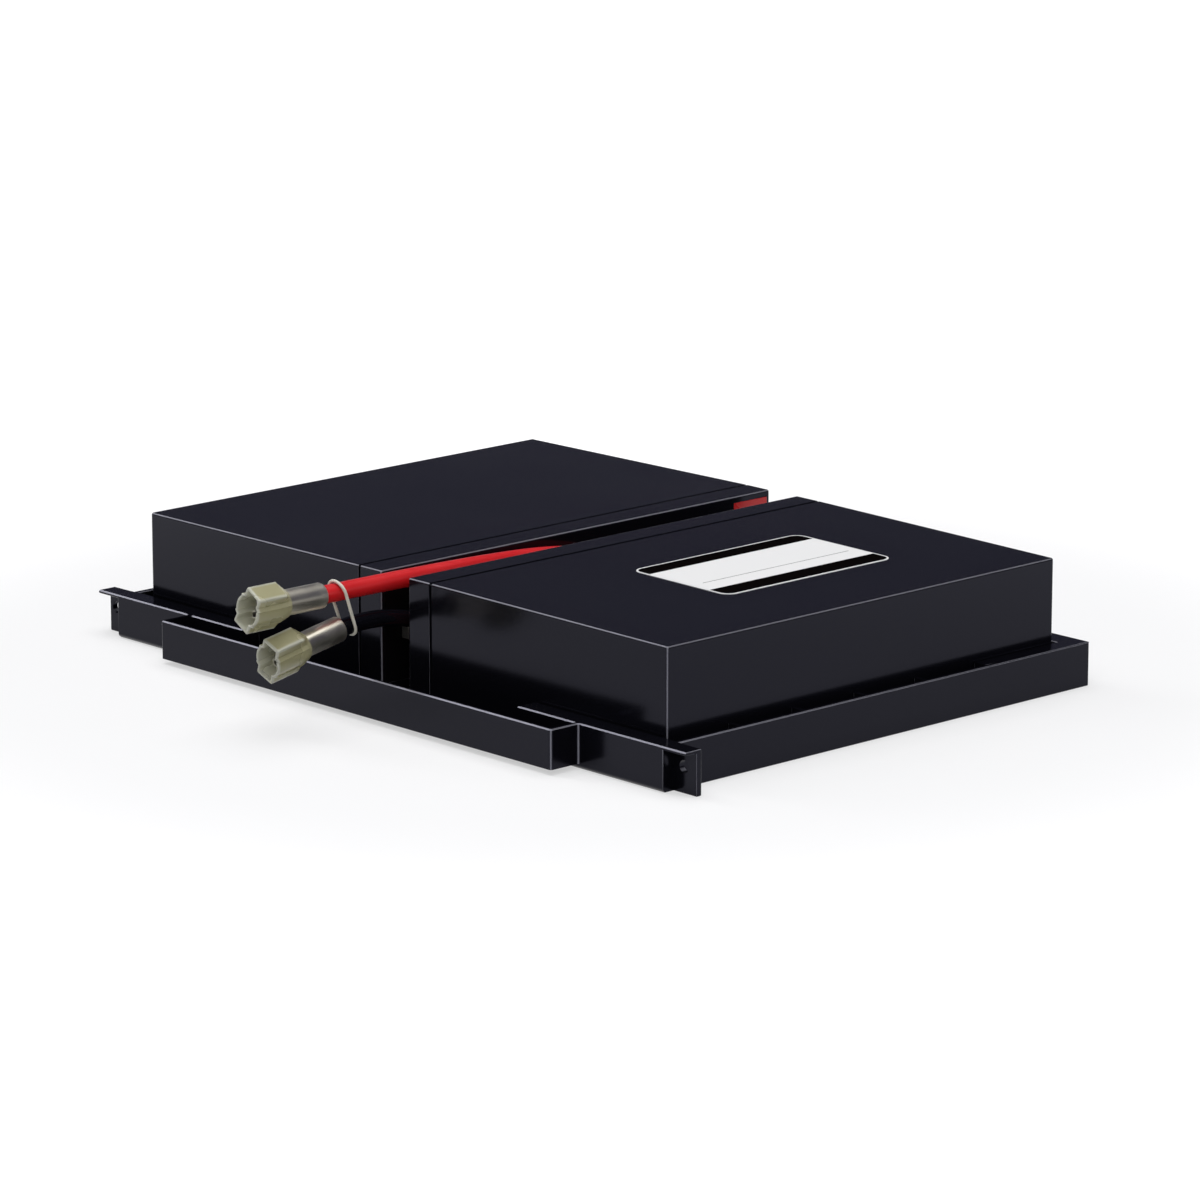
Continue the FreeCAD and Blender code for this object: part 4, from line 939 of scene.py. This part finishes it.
class CARTRIDGE_OT_stage(PieceOperator, bpy.types.Operator):
    """Pale floor, soft lamps, the surrounding light and the camera"""

    bl_idname = "cartridge.stage"
    bl_label = "Stage"

    def execute(self, context):
        self.floor()
        self.surroundings()
        self.lamps()
        self.camera()
        context.scene.view_settings.view_transform = "Standard"
        return {"FINISHED"}

    def floor(self):
        """Large floor, white far out, with a glow that fades near the tray and under it."""
        footprint_middle, footprint_half_x, footprint_half_y = (0.0, 0.0055, 0.0), 0.1149, 0.0822
        mirror_share, shaded_near_glow = 0.92, 0.535
        mesh = bpy.data.meshes.new("floor")
        reach = 14.0
        mesh.from_pydata([(-reach, -reach, 0), (reach, -reach, 0), (reach, reach, 0), (-reach, reach, 0)],
                         [], [(0, 1, 2, 3)])
        floor = bpy.data.objects.new("floor", mesh)
        bpy.context.scene.collection.objects.link(floor)
        material, nodes, shader = new_material("pale_floor")
        shader.inputs["Base Color"].default_value = (0.40, 0.40, 0.40, 1)
        shader.inputs["Roughness"].default_value = 0.9
        shader.inputs["Specular IOR Level"].default_value = 0.0
        path = nodes.add("ShaderNodeLightPath")
        mirrored = nodes.math("MULTIPLY", path.outputs["Is Glossy Ray"], mirror_share)
        seen = nodes.math("MAXIMUM", nodes.math("MAXIMUM", path.outputs["Is Camera Ray"], mirrored),
                          path.outputs["Is Transmission Ray"])
        place = nodes.add("ShaderNodeTexCoord").outputs["Object"]
        offset = nodes.add("ShaderNodeVectorMath", {0: place, 1: footprint_middle}, operation="SUBTRACT")
        offset = nodes.add("ShaderNodeVectorMath", {0: offset.outputs[0]}, operation="ABSOLUTE")
        sides = nodes.add("ShaderNodeSeparateXYZ", {0: offset.outputs[0]})
        beyond = nodes.math("MAXIMUM", nodes.math("SUBTRACT", sides.outputs[0], footprint_half_x),
                            nodes.math("SUBTRACT", sides.outputs[1], footprint_half_y))
        away = nodes.add("ShaderNodeVectorMath", {0: place}, operation="LENGTH").outputs["Value"]
        # Painted shadow: the glow is weaker near the tray and almost gone under its footprint.
        shadowed_glow = nodes.math("MULTIPLY", nodes.ramp(away, 0.16, 0.41, shaded_near_glow, 1.0),
                              nodes.ramp(beyond, -0.004, 0.0, 0.05, 1.0))
        glow = nodes.add("ShaderNodeEmission", {"Color": (1, 1, 1, 1),
                                                "Strength": nodes.math("MULTIPLY", seen, shadowed_glow)})
        both = nodes.add("ShaderNodeAddShader", {0: shader.outputs[0], 1: glow.outputs[0]})
        end = next(n for n in material.node_tree.nodes if n.type == "OUTPUT_MATERIAL")
        nodes.tree.links.new(both.outputs[0], end.inputs["Surface"])
        mesh.materials.append(material)

    def surroundings(self):
        """Dim room, pale low down where the lit floor's far side is."""
        world = bpy.context.scene.world or bpy.data.worlds.new("room")
        bpy.context.scene.world = world
        world.use_nodes = True
        nodes = Nodes(world.node_tree)
        world.node_tree.nodes.clear()
        height = nodes.add("ShaderNodeSeparateXYZ", {0: nodes.add("ShaderNodeTexCoord").outputs["Generated"]})
        low_tone, high_tone = (1.0, 1.0, 1.0), (0.0505, 0.0505, 0.0790)
        tone = nodes.mix(nodes.ramp(height.outputs[2], 0.06, 0.11), low_tone, high_tone)
        back = nodes.add("ShaderNodeBackground", {"Color": tone, "Strength": 1.0})
        out = nodes.add("ShaderNodeOutputWorld")
        nodes.tree.links.new(back.outputs[0], out.inputs["Surface"])

    def lamps(self):
        """Area lamps: overhead, high at the left and beside the camera, and two low ones not mirrored."""
        for name, place, aim, size_x, size_y, radiance, mirrored in (
                ("overhead", (0.0, 0.0, 1.5), (0, 0, 0), 1.5, 1.5, 2.9, True),
                ("left_high", (-1.35, -0.5, 1.25), (0, 0, 0), 0.35, 1.2, 6.0, True),
                ("beside_camera", (1.05, -1.05, 1.0), (0, 0, 0), 1.2, 0.7, 3.0, True),
                ("low_right", (1.15, 1.10, 0.50), (0, 0, 0.04), 0.9, 0.62, 2.4, False),
                ("low_left", (-1.20, -1.15, 0.36), (0, 0, 0.04), 0.9, 0.34, 1.25, False)):
            lamp = bpy.data.lights.new(name, "AREA")
            lamp.shape = "RECTANGLE"
            lamp.size, lamp.size_y = size_x, size_y
            lamp.energy = radiance * math.pi * size_x * size_y
            item = bpy.data.objects.new(name, lamp)
            bpy.context.scene.collection.objects.link(item)
            item.location = place
            item.visible_glossy = mirrored
            item.rotation_euler = (Vector(aim) - Vector(place)).to_track_quat("-Z", "Y").to_euler()

    def camera(self):
        """Camera at the front right, a little above."""
        lens = bpy.data.cameras.new("camera")
        lens.lens, lens.sensor_width = 173.8, 36.0
        lens.clip_start, lens.clip_end = 0.05, 60.0
        camera = bpy.data.objects.new("camera", lens)
        bpy.context.scene.collection.objects.link(camera)
        camera.location = (1.17756, -1.08898, 0.41073)
        camera.rotation_euler = (math.radians(90 - 13.729), 0.0, math.radians(47.061))
        bpy.context.scene.camera = camera


STEPS = (
    CARTRIDGE_OT_tray, CARTRIDGE_OT_cases, CARTRIDGE_OT_lids, CARTRIDGE_OT_terminals, CARTRIDGE_OT_label,
    CARTRIDGE_OT_boots, CARTRIDGE_OT_sleeves, CARTRIDGE_OT_spades, CARTRIDGE_OT_tie, CARTRIDGE_OT_leads,
    CARTRIDGE_OT_cells, CARTRIDGE_OT_stage,
)


class CARTRIDGE_PT_panel(bpy.types.Panel):
    """Panel with the operators and settings"""

    bl_idname = "CARTRIDGE_PT_panel"
    bl_label = "Battery Cartridge"
    bl_space_type = "VIEW_3D"
    bl_region_type = "UI"
    bl_category = "Cartridge"

    def draw(self, context):
        for step in STEPS:
            self.layout.operator(step.bl_idname)
        for group in (context.scene.cartridge_sizes, context.scene.cartridge_colours):
            box = self.layout.box()
            for name in group.bl_rna.properties.keys():
                if name not in ("rna_type", "name"):
                    box.prop(group, name)


CLASSES = (CartridgeSizes, CartridgeColours, *STEPS, CARTRIDGE_PT_panel)


def register():
    """Register the classes and hang the settings on the scene."""
    for item in CLASSES:
        bpy.utils.register_class(item)
    bpy.types.Scene.cartridge_sizes = bpy.props.PointerProperty(type=CartridgeSizes)
    bpy.types.Scene.cartridge_colours = bpy.props.PointerProperty(type=CartridgeColours)


def unregister():
    """Undo register."""
    del bpy.types.Scene.cartridge_colours
    del bpy.types.Scene.cartridge_sizes
    for item in reversed(CLASSES):
        bpy.utils.unregister_class(item)


def main():
    """Build everything in order and write both boxes."""
    register()
    for step in STEPS:
        family, name = step.bl_idname.split(".")
        getattr(getattr(bpy.ops, family), name)()
    bpy.context.view_layer.update()


if __name__ == "__main__":
    main()
